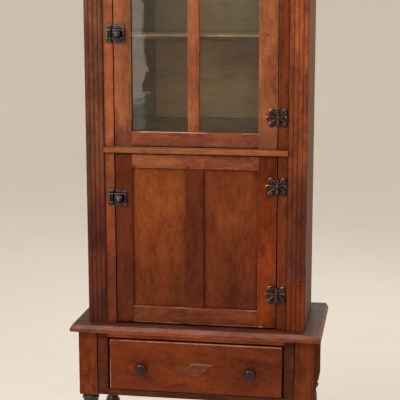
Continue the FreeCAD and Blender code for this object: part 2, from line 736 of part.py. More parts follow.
upper_rail("upper_door_rail_bottom", ("upper_bottom", "upper_rail_low"), ("upper_rail_low-rebate", "upper_rail_low"), "low",
           ("upper_rail_low-15", "upper_rail_low"))
upper_rail("upper_door_rail_top", ("upper_rail_high", "upper_top"), ("upper_rail_high", "upper_rail_high+rebate"), "high",
           ("upper_rail_high", "upper_rail_high+15"))
keep(fuse("upper_door_glazing_bar", [
    box("bar_face", (BL, BR), ("stile_face", "stile_face+door_thick-rebate_deep"), ("upper_rail_low", "upper_rail_high")),
    box("bar_tongue", (BL + "+rebate", BR + "-rebate"), RBY, GZ),
    box("bar_tenon_low", BTX, BTY, ("upper_rail_low-15", "upper_rail_low")),
    box("bar_tenon_high", BTX, BTY, ("upper_rail_high", "upper_rail_high+15"))]), "upper_door_glazing_bar")
PANE_L = (DIL + "-rebate+1", BL + "+rebate-1")
PANE_R = (BR + "-rebate+1", DIR + "+rebate-1")
GY = ("stile_face+door_thick-rebate_deep", "stile_face+door_thick-rebate_deep+glass_thick")
PZ = ("upper_rail_low-rebate+1", "upper_rail_high+rebate-1")
group("upper_door_glass", [box("pane_left", PANE_L, GY, PZ), box("pane_right", PANE_R, GY, PZ)])
BY = ("stile_face+door_thick-rebate_deep+glass_thick", "stile_face+door_thick-1.5")


def beads(tag, x):
    a, c = x
    low = ("upper_rail_low-rebate", "upper_rail_low-1")
    high = ("upper_rail_high+1", "upper_rail_high+rebate")
    mid = ("upper_rail_low-1", "upper_rail_high+1")
    return [box("bead_%s_low" % tag, (a, c), BY, low), box("bead_%s_high" % tag, (a, c), BY, high),
            box("bead_%s_left" % tag, (a, a + "+7"), BY, mid), box("bead_%s_right" % tag, (c + "-7", c), BY, mid)]


group("upper_door_glazing_beads", beads("l", (DIL + "-rebate", BL + "+rebate")) + beads("r", (BR + "-rebate", DIR + "+rebate")))

LZ = ("lower_bottom", "lower_top")
PY = ("stile_face+panel_setback", "stile_face+panel_setback+panel_thick")
LT = {"low": ("lower_bottom+6", "lower_rail_low-10"), "high": ("lower_rail_high+10", "lower_top-6")}
LGZ = ("lower_rail_low-rebate", "lower_rail_high+rebate")
keep(cut("lower_door_stile_left", box("lds_left_board", (DX0, DIL), DY, LZ), [
    box("lds_left_groove", (DIL + "-rebate", DIL), PY, LGZ),
    box("lds_left_mortise_low", TLX, PY, LT["low"]), box("lds_left_mortise_high", TLX, PY, LT["high"])]),
    "lower_door_stile_left")
keep(cut("lower_door_stile_right", box("lds_right_board", (DIR, DX1), DY, LZ), [
    box("lds_right_groove", (DIR, DIR + "+rebate"), PY, LGZ),
    box("lds_right_mortise_low", TRX, PY, LT["low"]), box("lds_right_mortise_high", TRX, PY, LT["high"])]),
    "lower_door_stile_right")
ML = "-mullion_left"
MR = "mullion_right"
MT = ("-mullion_left+10", "mullion_right-10")


def lower_rail(label, z, groove_z, key, tongue):
    base = fuse(label + "_stock", [
        box(label + "_board", (DIL, DIR), DY, z),
        box(label + "_tenon_l", TLX, PY, LT[key]), box(label + "_tenon_r", TRX, PY, LT[key])])
    return keep(cut(label, base, [box(label + "_groove", (DIL, DIR), PY, groove_z),
                                  box(label + "_mortise", MT, PY, tongue)]), label)


lower_rail("lower_door_rail_bottom", ("lower_bottom", "lower_rail_low"), ("lower_rail_low-rebate", "lower_rail_low"), "low",
           ("lower_rail_low-22", "lower_rail_low-rebate"))
lower_rail("lower_door_rail_top", ("lower_rail_high", "lower_top"), ("lower_rail_high", "lower_rail_high+rebate"), "high",
           ("lower_rail_high+rebate", "lower_rail_high+20"))
mull = fuse("mullion_stock", [
    box("mullion_board", (ML, MR), DY, ("lower_rail_low", "lower_rail_high")),
    box("mullion_tenon_low", MT, PY, ("lower_rail_low-22", "lower_rail_low")),
    box("mullion_tenon_high", MT, PY, ("lower_rail_high", "lower_rail_high+20"))])
keep(cut("lower_door_mullion", mull, [
    box("mullion_groove_l", (ML, ML + "+rebate"), PY, ("lower_rail_low", "lower_rail_high")),
    box("mullion_groove_r", (MR + "-rebate", MR), PY, ("lower_rail_low", "lower_rail_high"))]), "lower_door_mullion")
LPZ = ("lower_rail_low-rebate+1", "lower_rail_high+rebate-1")
group("lower_door_panels", [
    box("panel_left", (DIL + "-rebate+1", ML + "+rebate-1"), PY, LPZ),
    box("panel_right", (MR + "-rebate+1", DIR + "+rebate-1"), PY, LPZ)])

# ---------------------------------------------------------------- butterfly hinges
# Local frame of a hinge: the pin is the Z axis through 0, the leaves lie behind it.
V = FreeCAD.Vector
BRAD = D["barrel_radius"]
LEAF = D["leaf_thick"]
BACK = D["stile_face"] - D["hinge_y"]          # wood face behind the pin's axis
PETALS = {1: [(44, 36.0, 9.0), (0, 30.9, 7.7), (-44, 36.0, 9.0)],       # on the face stile
          -1: [(46, 35.6, 9.2), (0, 35.6, 7.9), (-46, 35.6, 9.2)]}     # on the door, a little longer
HL = D["barrel_length"]
BORE = D["pin_radius"] + D["pin_play"]
KN = [(-HL / 2, -HL / 2 + 13.2), (-HL / 2 + 13.6, HL / 2 - 13.6), (HL / 2 - 13.2, HL / 2)]


def cyl(r, h, p, d):
    return Part.makeCylinder(r, h, V(*p), V(*d))


def petal(side, ang, reach, r):
    """One teardrop petal with a raised rim, pointing away from the barrel."""
    a = math.radians(ang)
    ux, uz = side * math.cos(a), math.sin(a)
    px, pz = -uz, ux
    cx, cz = ux * (reach - r), uz * (reach - r)
    y1 = BACK
    y0 = BACK - LEAF
    disc = cyl(r, LEAF, (cx, y0, cz), (0, 1, 0))
    w = 2.6
    pts = [(ux * 2 + px * w, uz * 2 + pz * w), (cx + px * r * 0.96, cz + pz * r * 0.96),
           (cx - px * r * 0.96, cz - pz * r * 0.96), (ux * 2 - px * w, uz * 2 - pz * w)]
    poly = Part.makePolygon([V(x, y0, z) for x, z in pts + pts[:1]])
    neck = Part.Face(poly).extrude(V(0, LEAF, 0))
    rim = cyl(r - 0.6, 1.7, (cx, y0 - 1.6, cz), (0, 1, 0)).cut(cyl(r - 3.0, 1.7, (cx, y0 - 1.6, cz), (0, 1, 0)))
    return disc.fuse([neck, rim])


def screw_spots(side):
    out = []
    for ang, reach, r in PETALS[side]:
        a = math.radians(ang)
        out.append((side * math.cos(a) * (reach - r), math.sin(a) * (reach - r)))
    return out


def leaf(side, knuckles):
    shapes = [petal(side, *p) for p in PETALS[side]]
    for z0, z1 in knuckles:
        shapes.append(cyl(BRAD, z1 - z0, (0, 0, z0), (0, 0, 1)))
        web = Part.makeBox(12, LEAF, z1 - z0, V(0 if side > 0 else -12, BACK - LEAF, z0))
        shapes.append(web)
    s = shapes[0].fuse(shapes[1:])
    # keep the leaf clear of the other leaf's knuckles
    for z0, z1 in KN:
        if (z0, z1) not in knuckles:
            s = s.cut(cyl(BRAD + 0.4, z1 - z0 + 0.8, (0, 0, z0 - 0.4), (0, 0, 1)))
    s = s.cut(cyl(BORE, HL + 4, (0, 0, -HL / 2 - 2), (0, 0, 1)))
    for x, z in screw_spots(side):
        s = s.cut(cyl(1.6, 12, (x, -2, z), (0, 1, 0)))
        s = s.cut(Part.makeCone(3.2, 1.6, 1.7, V(x, BACK - LEAF, z), V(0, 1, 0)))
    return s.removeSplitter()


def feature(label, shape, x=0.0, y=0.0, z=0.0):
    o = doc.addObject("Part::Feature", label)
    o.Label = label
    o.Shape = shape
    o.Placement = FreeCAD.Placement(V(x, y, z), FreeCAD.Rotation())
    return o


HX = D["hinge_x"]
HY = D["base_front"] + D["hinge_y"]
HZ = {"a": 636.0, "b": 1141.0, "c": 433.5, "d": 107.8}
frame_leaf = leaf(1, [KN[0], KN[2]])
door_leaf = leaf(-1, [KN[1]])


def at(o, dz):
    """Puts a hinge or latch piece at its height above the stand's top board."""
    ex(o, "Placement.Base.x", "hinge_x")
    ex(o, "Placement.Base.y", at_y("hinge_y"))
    ex(o, "Placement.Base.z", at_z("%s" % dz))
    return o


group("hinge_frame_leaves", [at(feature("frame_leaf_" + k, frame_leaf), HZ[k]) for k in "abcd"])
group("upper_door_hinge_leaves", [at(feature("door_leaf_" + k, door_leaf), HZ[k]) for k in "ab"])
group("lower_door_hinge_leaves", [at(feature("door_leaf_" + k, door_leaf), HZ[k]) for k in "cd"])


def pin(label, dz):
    k = body(label)
    R = D["pin_radius"]
    h = HL / 2
    g = [Part.LineSegment(V(0, -h - 1.3, 0), V(2.6, -h - 1.3, 0)),
         Part.Arc(V(2.6, -h - 1.3, 0), V(3.8, -h - 0.9, 0), V(4.2, -h, 0)),
         Part.LineSegment(V(4.2, -h, 0), V(R, -h, 0)),
         Part.LineSegment(V(R, -h, 0), V(R, h, 0)),
         Part.LineSegment(V(R, h, 0), V(4.2, h, 0)),
         Part.Arc(V(4.2, h, 0), V(3.8, h + 0.9, 0), V(2.6, h + 1.3, 0)),
         Part.LineSegment(V(2.6, h + 1.3, 0), V(0, h + 1.3, 0)),
         Part.LineSegment(V(0, h + 1.3, 0), V(0, -h - 1.3, 0))]
    s = sketch(k, "XZ_Plane", g, name=label + "_turning")
    r = k.newObject("PartDesign::Revolution", label + "_turned")
    r.Profile = s
    r.ReferenceAxis = (s, ["V_Axis"])
    r.Angle = 360
    doc.recompute()
    return at(k, dz)


group("hinge_pins", [pin("hinge_pin_" + k, HZ[k]) for k in "abcd"])

# ---------------------------------------------------------------- latches
# Local frame of a latch: 0 is where the knob's axis meets the wood face; the front is -Y.
BOXH = 14.6
CAV = 13.4
LX0 = -14.5                                    # the case's edge at the keeper
LX1 = LX0 + D["latch_width"]
TRAVEL = 7.0
TURN = math.radians(60)
LEVER = TRAVEL / math.sin(TURN)
BOLT_Y = (-7.9, -2.9)


def mk(x0, x1, y0, y1, z0, z1):
    return Part.makeBox(x1 - x0, y1 - y0, z1 - z0, V(x0, y0, z0))


def latch_screw_spots(plate_h):
    h = plate_h / 2
    return [(x, z) for x in (LX0 + 6, LX1 - 6) for z in (-h + 5.5, h - 5.5)]


def latch_case(plate_h):
    h = plate_h / 2
    s = mk(LX0, LX1, -2.4, 0, -h, h)
    s = s.fuse(mk(LX0, LX1, -10.6, -2.4, -BOXH, BOXH))
    # raised bands along the top and bottom of the box, and a collar round the knob's stem
    s = s.fuse([mk(LX0, LX1, -12.0, -10.6, BOXH - 4, BOXH), mk(LX0, LX1, -12.0, -10.6, -BOXH, -BOXH + 4)])
    s = s.fuse(cyl(8.5, 1.6, (0, -12.2, 0), (0, 1, 0)))
    s = s.cut(mk(LX0 + 1.7, LX1 - 1.7, -8.3, -2.4, -CAV, CAV))
    s = s.cut(mk(LX0 - 1, LX0 + 2, -8.3, -2.4, -6.4, 6.4))
    s = s.cut(cyl(3.06, 12, (0, -14, 0), (0, 1, 0)))
    for x, z in latch_screw_spots(plate_h):
        s = s.cut(cyl(1.6, 6, (x, -4, z), (0, 1, 0)))
        s = s.cut(Part.makeCone(3.0, 1.6, 1.6, V(x, -2.4, z), V(0, 1, 0)))
    return s.removeSplitter()


def latch_bolt():
    y0, y1 = BOLT_Y
    plate = mk(-5.5, 17.0, y0, y1, -12.6, 13.0)
    nose = mk(LX0 + 0.4, -5.5, y0, y1, -6, 6)
    wedge = Part.Face(Part.makePolygon([V(LX0 + 0.4, y0, -7), V(LX0 + 0.4, y0 + 1.6, -7), V(LX0 + 2.0, y0, -7),
                                        V(LX0 + 0.4, y0, -7)])).extrude(V(0, 0, 14))
    win = Part.Face(Part.makePolygon([V(x, y0 - 1, z) for x, z in
                                      [(-3.4, -3.4), (10.4, -3.4), (10.4, 4.5), (2.9, 11.0), (-3.4, 11.0), (-3.4, -3.4)]])
                    ).extrude(V(0, 8, 0))
    return plate.fuse(nose).cut(wedge).cut(win).removeSplitter()


def latch_knob():
    R = D["latch_knob"] / 2
    c = Part.BSplineCurve()
    c.interpolate([V(7.0, -15.0, 0), V(R - 1.2, -18.4, 0), V(R, -23.2, 0), V(R - 1.8, -28.6, 0), V(R - 6.5, -32.2, 0), V(0, -33.6, 0)])
    g = [Part.LineSegment(V(0, -3.1, 0), V(3.0, -3.1, 0)),
         Part.LineSegment(V(3.0, -3.1, 0), V(3.0, -12.5, 0)),
         Part.LineSegment(V(3.0, -12.5, 0), V(5.6, -12.5, 0)),
         Part.LineSegment(V(5.6, -12.5, 0), V(7.0, -15.0, 0)), c,
         Part.LineSegment(V(0, -33.6, 0), V(0, -3.1, 0))]
    w = Part.Wire([x.toShape() for x in g])
    s = Part.Face(w).revolve(V(0, 0, 0), V(0, 1, 0), 360)
    if s.ShapeType != "Solid":
        s = Part.Solid(s) if s.ShapeType == "Shell" else s.Solids[0]
    if s.Volume < 0:
        s.reverse()
    arm = mk(-1.7, 1.7, -7.4, -3.4, 0, LEVER).fuse(cyl(1.7, 4.0, (0, -7.4, LEVER), (0, 1, 0)))
    return s.fuse(arm).removeSplitter()


def keeper_size(plate_h):
    return min(26.0, plate_h / 2 - 0.5), LX0 - 2.6 - 16.6, LX0 - 2.6


def keeper_screw_spots(plate_h):
    h, x0, x1 = keeper_size(plate_h)
    return [(x0 + 7.0, -h + 4.8), (x0 + 7.0, h - 4.8)]


def keeper(plate_h):
    h, x0, x1 = keeper_size(plate_h)
    s = mk(x0, x1, -2.4, 0, -h, h)
    s = s.fuse(mk(x0 + 0.8, x1 - 1.6, -10.6, -2.4, -15, 15))
    s = s.cut(mk(x0 + 3.0, x1 + 1, -8.4, -2.4, -6.6, 6.6))
    for x, z in keeper_screw_spots(plate_h):
        s = s.cut(cyl(1.6, 6, (x, -4, z), (0, 1, 0)))
        s = s.cut(Part.makeCone(3.0, 1.6, 1.6, V(x, -2.4, z), V(0, 1, 0)))
    return s.removeSplitter()


def latch_at(o, height):
    ex(o, "Placement.Base.x", "-latch_x")
    ex(o, "Placement.Base.y", at_y("stile_face"))
    ex(o, "Placement.Base.z", at_z(height))
    return o


for side in ("upper", "lower"):
    ph = D["latch_plate_" + side]
    keep(latch_at(feature(side + "_latch_case", latch_case(ph)), "latch_" + side), side + "_latch_case")
    keep(latch_at(feature(side + "_latch_bolt", latch_bolt()), "latch_" + side), side + "_latch_bolt")
    keep(latch_at(feature(side + "_latch_knob", latch_knob()), "latch_" + side), side + "_latch_knob")
group("latch_keepers", [latch_at(feature("keeper_" + s_, keeper(D["latch_plate_" + s_])), "latch_" + s_)
                        for s_ in ("upper", "lower")])


# ---------------------------------------------------------------- screws
def screw():
    """A slotted countersunk screw, driven along +Y, its head at 0."""
    k = body("screw_pattern")
    g = [Part.LineSegment(V(0, -0.9, 0), V(1.6, -0.7, 0)),
         Part.LineSegment(V(1.6, -0.7, 0), V(3.0, 0, 0)),
         Part.LineSegment(V(3.0, 0, 0), V(1.5, 1.6, 0)),
         Part.LineSegment(V(1.5, 1.6, 0), V(1.5, 12.5, 0)),
         Part.LineSegment(V(1.5, 12.5, 0), V(0, 15.5, 0)),
         Part.LineSegment(V(0, 15.5, 0), V(0, -0.9, 0))]
    s = sketch(k, "XY_Plane", g, name="screw_profile")
    r = k.newObject("PartDesign::Revolution", "screw_turned")
    r.Profile = s
    r.ReferenceAxis = (s, ["V_Axis"])
    r.Angle = 360
    doc.recompute()
    slot = rect_sketch(k, "XY_Plane", "6.4", "0.9", "-3.2", "-0.9", name="screw_slot_outline")
    q = k.newObject("PartDesign::Pocket", "screw_slot")
    q.Profile = slot
    q.Length = 0.8
    q.Midplane = True
    doc.recompute()
    return k


pattern = screw()
SC = pattern.Shape.copy()
count = 0


def screw_at(spots, x, y, z):
    global count
    out = []
    for sx, sz in spots:
        count += 1
        n = "screw_%02d" % count
        o = doc.addObject("App::Link", n)
        o.LinkedObject = pattern
        o.Label = n
        o.Placement = FreeCAD.Placement(V(x + sx, y, z + sz), FreeCAD.Rotation(V(0, 1, 0), 37 * count))
        out.append(o)
    return out


HH = D["base_height"]
LEAF_FACE = HY + BACK - LEAF
PLATE_FACE = D["base_front"] + D["stile_face"] - 2.4
case_screws = []
for k in "abcd":
    case_screws += screw_at(screw_spots(1), HX, LEAF_FACE, HH + HZ[k])
for s_ in ("upper", "lower"):
    case_screws += screw_at(keeper_screw_spots(D["latch_plate_" + s_]), -D["latch_x"], PLATE_FACE, HH + D["latch_" + s_])
group("case_screws", case_screws)
for s_, ks in (("upper", "ab"), ("lower", "cd")):
    rows = []
    for k in ks:
        rows += screw_at(screw_spots(-1), HX, LEAF_FACE, HH + HZ[k])
    rows += screw_at(latch_screw_spots(D["latch_plate_" + s_]), -D["latch_x"], PLATE_FACE, HH + D["latch_" + s_])
    group(s_ + "_door_screws", rows)
doc.recompute()

# pilot holes: the screws' bodies are taken out of the wood that they are driven into
PILOTS = {
    "face_stile_right": case_screws, "face_stile_left": case_screws,
    "upper_door_stile_left": "upper", "upper_door_stile_right": "upper",
    "lower_door_stile_left": "lower", "lower_door_stile_right": "lower",
}
for i, obj in enumerate(list(PARTS)):
    if obj.Label not in PILOTS:
        continue
    grp = [q for q in PARTS if q.Label == ("case_screws" if obj.Label.startswith("face") else obj.Label.split("_")[0] + "_door_screws")][0]
    label = obj.Label
    obj.Label = label + "_undrilled"
    c = doc.addObject("Part::Cut", label + "_drilled")
    c.Base = obj
    c.Tool = grp
    c.Label = label
    PARTS[i] = c
doc.recompute()

# ---------------------------------------------------------------- checks and export
bad = [o.Name for o in doc.Objects if "Invalid" in o.State or "Error" in o.State]
if bad:
    raise SystemExit("failed objects: %s" % bad)
seen = set()
for o in PARTS:
    sh = o.Shape
    if sh.isNull() or not sh.isValid() or not sh.Solids:
        raise SystemExit("bad shape: %s" % o.Label)
    if o.Label in seen or len(o.Label) > 59:
        raise SystemExit("bad label: %s" % o.Label)
    seen.add(o.Label)
if len(PARTS) > 60:
    raise SystemExit("too many parts: %d" % len(PARTS))
for o in PARTS:
    o.Shape.exportStep("parts/%s.step" % o.Label)
print("wrote", len(PARTS), "parts")
lo = [1e9] * 3
hi = [-1e9] * 3
for o in PARTS:
    b = o.Shape.BoundBox
    lo = [min(a, c) for a, c in zip(lo, (b.XMin, b.YMin, b.ZMin))]
    hi = [max(a, c) for a, c in zip(hi, (b.XMax, b.YMax, b.ZMax))]
print("box", [round(v, 2) for v in lo], [round(v, 2) for v in hi])
for o in PARTS:
    print("%-28s solids %2d  volume %.0f" % (o.Label, len(o.Shape.Solids), o.Shape.Volume))
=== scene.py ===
import math

import bpy
import numpy as np
from mathutils import Matrix, Vector


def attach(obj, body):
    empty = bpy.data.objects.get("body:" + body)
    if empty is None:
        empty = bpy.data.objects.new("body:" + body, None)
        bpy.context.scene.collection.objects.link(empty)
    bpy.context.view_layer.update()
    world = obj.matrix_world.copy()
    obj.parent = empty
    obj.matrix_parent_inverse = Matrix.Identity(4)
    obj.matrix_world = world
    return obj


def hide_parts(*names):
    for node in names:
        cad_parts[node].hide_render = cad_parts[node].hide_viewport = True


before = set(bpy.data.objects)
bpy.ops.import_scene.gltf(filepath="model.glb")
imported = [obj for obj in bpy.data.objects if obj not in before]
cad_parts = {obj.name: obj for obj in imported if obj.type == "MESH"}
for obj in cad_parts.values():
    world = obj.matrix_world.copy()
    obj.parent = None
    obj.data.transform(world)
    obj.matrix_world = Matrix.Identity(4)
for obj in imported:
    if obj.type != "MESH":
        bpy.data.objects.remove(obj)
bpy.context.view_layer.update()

rng = np.random.default_rng(518)

# The sizes below are in millimetres: x from the centre, y back from the front edge of
# the stand's top board, z up from that board's upper surface.
DY, DZ = -182.0, 610.0


def place(p):
    """Millimetres in the drawing's frame to metres in the row frame."""
    p = np.asarray(p, float)
    return (p + np.array([0.0, DY, DZ])) / 1000.0


def vnoise(p, scale, seed=0):
    """Smooth value noise from 0 to 1 at points p, in the same unit as scale."""
    q = np.asarray(p, float) / scale
    i = np.floor(q).astype(np.int64)
    f = q - i
    f = f * f * (3 - 2 * f)

    def h(a, b, c):
        n = (a * 374761393 + b * 668265263 + c * 1442695041 + seed * 1274126177) & 0xFFFFFFFF
        n = ((n ^ (n >> 13)) * 1274126177) & 0xFFFFFFFF
        n = n ^ (n >> 16)
        return (n & 0xFFFFFF) / float(0xFFFFFF)

    out = 0.0
    for dx in (0, 1):
        for dy in (0, 1):
            for dz in (0, 1):
                w = (f[:, 0] if dx else 1 - f[:, 0]) * (f[:, 1] if dy else 1 - f[:, 1]) * (f[:, 2] if dz else 1 - f[:, 2])
                out = out + w * h(i[:, 0] + dx, i[:, 1] + dy, i[:, 2] + dz)
    return out


# ------------------------------------------------------------------ meshes
class Mesh:
    """Vertices, faces and the attributes that the materials read."""

    def __init__(self):
        self.v, self.f, self.g, self.lo, self.hi, self.tone, self.dirt, self.high = [], [], [], [], [], [], [], []
        self.n = 0

    def add(self, v, faces, axis="z", tone=0.0, dirt=None, edges=True, pith=None, high=None, butt=False):
        """Adds one island. The grain runs along axis; edges are worn by the distance to the island's box."""
        v = np.asarray(v, float)
        lo, hi = v.min(0), v.max(0)
        size = hi - lo
        # every island's faces look outwards
        tri = np.array([(q[0], q[i], q[i + 1]) for q in faces for i in range(1, len(q) - 1)])
        rel = v - (lo + hi) / 2
        if np.einsum("ij,ij->i", rel[tri[:, 0]], np.cross(rel[tri[:, 1]], rel[tri[:, 2]])).sum() < 0:
            faces = [list(q)[::-1] for q in faces]
        a = "xyz".index(axis)
        rest = sorted([k for k in range(3) if k != a], key=lambda k: -size[k])
        mid = (lo + hi) / 2
        off = rng.uniform(0, 9000)
        cross = rng.uniform(-35, 35)
        depth = rng.uniform(35, 80) if pith is None else pith
        g = np.stack([v[:, a] + off, v[:, rest[0]] - mid[rest[0]] + cross, v[:, rest[1]] - mid[rest[1]] + depth], 1)
        if edges:
            dlo, dhi = v - lo, hi - v
        else:
            dlo = dhi = np.full_like(v, 500.0)
        if butt:
            # the ends meet other pieces, so they have no wear of their own
            dlo, dhi = dlo.copy(), dhi.copy()
            dlo[:, a] = dhi[:, a] = 500.0
        self.v.append(v)
        self.g.append(g)
        self.lo.append(dlo)
        self.hi.append(dhi)
        self.tone.append(np.broadcast_to(np.asarray(tone, float), (len(v),)))
        self.dirt.append(np.zeros(len(v)) if dirt is None else np.asarray(dirt, float))
        self.high.append(np.zeros(len(v)) if high is None else np.asarray(high, float))
        self.f += [[k + self.n for k in q] for q in faces]
        self.n += len(v)
        return self

    def build(self, name, body, mat, slot=None, replaces=(), sharp=40, merge=None):
        v = np.concatenate(self.v)
        me = bpy.data.meshes.new(name)
        me.from_pydata([tuple(p) for p in place(v)], [], self.f)
        me.update()
        for key, data, kind in (("gco", self.g, "FLOAT_VECTOR"), ("dlo", self.lo, "FLOAT_VECTOR"), ("dhi", self.hi, "FLOAT_VECTOR"),
                                ("tone", self.tone, "FLOAT"), ("dirt", self.dirt, "FLOAT"), ("high", self.high, "FLOAT")):
            d = np.concatenate(data).astype(np.float32)
            at = me.attributes.new(key, kind, "POINT")
            if kind == "FLOAT_VECTOR":
                at.data.foreach_set("vector", (d / 1000.0).ravel())
            else:
                at.data.foreach_set("value", d)
        me.shade_smooth()
        me.set_sharp_from_angle(angle=math.radians(sharp))
        me.materials.append(mat)
        o = bpy.data.objects.new(name, me)
        bpy.context.scene.collection.objects.link(o)
        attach(o, body)
        if replaces:
            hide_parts(*replaces)
        return o


def lattice(lo, hi, r, s):
    """Positions across a board: close together at the rounded edges, about s apart between them."""
    L = hi - lo
    if L <= 3.4 * r:
        return np.array([lo, lo + 0.35 * r, lo + r, hi - r, hi - 0.35 * r, hi])
    a = [0, 0.35 * r, r, min(1.7 * r, L / 2 - 0.01)]
    n = max(1, int(round((L - 2 * a[-1]) / s)))
    inner = np.linspace(a[-1], L - a[-1], n + 1)[1:-1]
    return lo + np.array(a + list(inner) + [L - q for q in a[::-1]])


def box_faces(nx, ny, nz):
    """The surface of a lattice of points: its vertices' indices and its quads, wound outwards."""
    ids = -np.ones((nx, ny, nz), int)
    surf = np.zeros((nx, ny, nz), bool)
    surf[[0, -1]] = True
    surf[:, [0, -1]] = True
    surf[:, :, [0, -1]] = True
    where = np.argwhere(surf)
    ids[surf] = np.arange(len(where))
    quads = []

    def sheet(a, flip):
        p, q, r, s = a[:-1, :-1].ravel(), a[1:, :-1].ravel(), a[1:, 1:].ravel(), a[:-1, 1:].ravel()
        m = np.stack([p, q, r, s] if not flip else [p, s, r, q], 1)
        quads.extend(m.tolist())

    sheet(ids[:, :, 0], True)
    sheet(ids[:, :, -1], False)
    sheet(ids[:, 0, :], False)
    sheet(ids[:, -1, :], True)
    sheet(ids[0, :, :], True)
    sheet(ids[-1, :, :], False)
    return where, quads


def slab(x, y, z, r=1.2, s=9.0, wave=0.22, nick=0.9, seed=None):
    """A board with rounded edges, slightly uneven faces and worn arrises, all inside its box."""
    lo, hi = np.array([x[0], y[0], z[0]], float), np.array([x[1], y[1], z[1]], float)
    r = min(r, 0.32 * (hi - lo).min())
    ax = [lattice(lo[k], hi[k], r, s) for k in range(3)]
    where, quads = box_faces(*[len(a) for a in ax])
    p = np.stack([ax[k][where[:, k]] for k in range(3)], 1)
    seed = int(rng.integers(1, 9999)) if seed is None else seed
    q = np.clip(p, lo + r, hi - r)
    d = p - q
    n = d / np.linalg.norm(d, axis=1, keepdims=True)
    out = q + n * r
    near = np.sort(np.minimum(p - lo, hi - p), axis=1)[:, 1]
    edge = np.clip(1 - near / (1.5 * r), 0, 1)
    w = vnoise(p, 70, seed) * 0.7 + vnoise(p, 23, seed + 1) * 0.3
    k = np.clip(vnoise(p, 19, seed + 2) * 1.5 - 0.75, 0, 1) + 0.5 * np.clip(vnoise(p, 7, seed + 3) * 2 - 1.25, 0, 1)
    out = out - n * (wave * w + nick * edge * k)[:, None]
    return out, quads


def profile_run(points, axis, lo, hi, s=12.0, wave=0.15, seed=1, shear=None, closed=True, face_in=None):
    """A section carried along axis from lo to hi. shear moves each point's ends: (at lo, at hi)."""
    pts = np.asarray(points, float)
    n = max(1, int(round((hi - lo) / s)))
    t = np.linspace(0, 1, n + 1)
    m = len(pts)
    a0 = lo + (shear[0] if shear is not None else np.zeros(m))
    a1 = hi + (shear[1] if shear is not None else np.zeros(m))
    along = a0[None, :] + (a1 - a0)[None, :] * t[:, None]
    P = np.zeros((n + 1, m, 3))
    if axis == "z":
        P[..., 0], P[..., 1], P[..., 2] = pts[:, 0], pts[:, 1], along
    elif axis == "x":
        P[..., 1], P[..., 2], P[..., 0] = pts[:, 0], pts[:, 1], along
    else:
        P[..., 0], P[..., 2], P[..., 1] = pts[:, 0], pts[:, 1], along
    v = P.reshape(-1, 3)
    c = v.mean(0)
    if wave:
        mid = P.mean(1, keepdims=True) - P
        mid = (mid / np.maximum(np.linalg.norm(mid, axis=2, keepdims=True), 1e-6)).reshape(-1, 3)
        v = v + mid * (wave * (0.6 * vnoise(v, 60, seed) + 0.4 * vnoise(v, 11, seed + 5)))[:, None]
    area = 0.5 * np.sum(pts[:, 0] * np.roll(pts[:, 1], -1) - np.roll(pts[:, 0], -1) * pts[:, 1])
    flip = (area < 0) != (axis == "y")
    quads = []
    for i in range(n):
        for j in range(m):
            k = (j + 1) % m
            q = [i * m + j, i * m + k, (i + 1) * m + k, (i + 1) * m + j]
            quads.append(q[::-1] if flip else q)
    a, b = list(range(m)), list(range(n * m, n * m + m))
    quads.append(a[::-1] if not flip else a)
    quads.append(b if not flip else b[::-1])
    return v, quads


def lathe(profile, centre, axis="z", seg=64, wobble=0.0, seed=3):
    """Turned shape: profile is (radius, distance along the axis) from one end to the other."""
    pr = np.asarray(profile, float)
    th = np.linspace(0, 2 * math.pi, seg, endpoint=False)
    R, T = np.meshgrid(pr[:, 0], th, indexing="ij")
    H = np.repeat(pr[:, 1][:, None], seg, 1)
    a, b = R * np.cos(T), R * np.sin(T)
    if wobble:
        k = vnoise(np.stack([np.cos(T).ravel() * 9, np.sin(T).ravel() * 9, H.ravel()], 1), 7, seed).reshape(R.shape)
        a, b = a * (1 - wobble * k / np.maximum(R, 1)), b * (1 - wobble * k / np.maximum(R, 1))
    if axis == "z":
        P = np.stack([a, b, H], -1)
    elif axis == "y":
        P = np.stack([a, H, -b], -1)
    else:
        P = np.stack([H, a, b], -1)
    v = P.reshape(-1, 3) + np.asarray(centre, float)
    n = len(pr)
    quads = []
    for i in range(n - 1):
        for j in range(seg):
            k = (j + 1) % seg
            quads.append([i * seg + j, i * seg + k, (i + 1) * seg + k, (i + 1) * seg + j])
    quads.append([j for j in range(seg)][::-1])
    quads.append([(n - 1) * seg + j for j in range(seg)])
    return v, quads


def crevice(profile, seg, width=3.0):
    """How deep each turned ring lies beside its neighbours: 1 in a groove, 0 on a swelling."""
    pr = np.asarray(profile, float)
    out = np.zeros(len(pr))
    for i in range(len(pr)):
        d = np.hypot(pr[:, 1] - pr[i, 1], 0)
        near = pr[d < width * 2, 0]
        out[i] = np.clip((near.max() - pr[i, 0]) / width, 0, 1)
    return np.repeat(out, seg)


def arc(cx, cy, r, a0, a1, n):
    t = np.radians(np.linspace(a0, a1, n))
    return [(cx + r * math.cos(k), cy + r * math.sin(k)) for k in t]


def smooth(points, per=6):
    """A curve through the points (Catmull-Rom)."""
    p = np.asarray(points, float)
    q = np.vstack([2 * p[0] - p[1], p, 2 * p[-1] - p[-2]])
    out = []
    for i in range(1, len(q) - 2):
        for t in np.linspace(0, 1, per, endpoint=False):
            a, b, c, d = q[i - 1], q[i], q[i + 1], q[i + 2]
            out.append(0.5 * ((2 * b) + (c - a) * t + (2 * a - 5 * b + 4 * c - d) * t * t + (3 * b - a - 3 * c + d) * t ** 3))
    out.append(p[-1])
    return [tuple(k) for k in out]


# ------------------------------------------------------------------ materials
def lin(r, g, b):
    """An sRGB colour, 0 to 255, as linear values."""
    f = lambda c: c / 12.92 if c <= 0.04045 else ((c + 0.055) / 1.055) ** 2.4
    return (f(r / 255), f(g / 255), f(b / 255), 1.0)


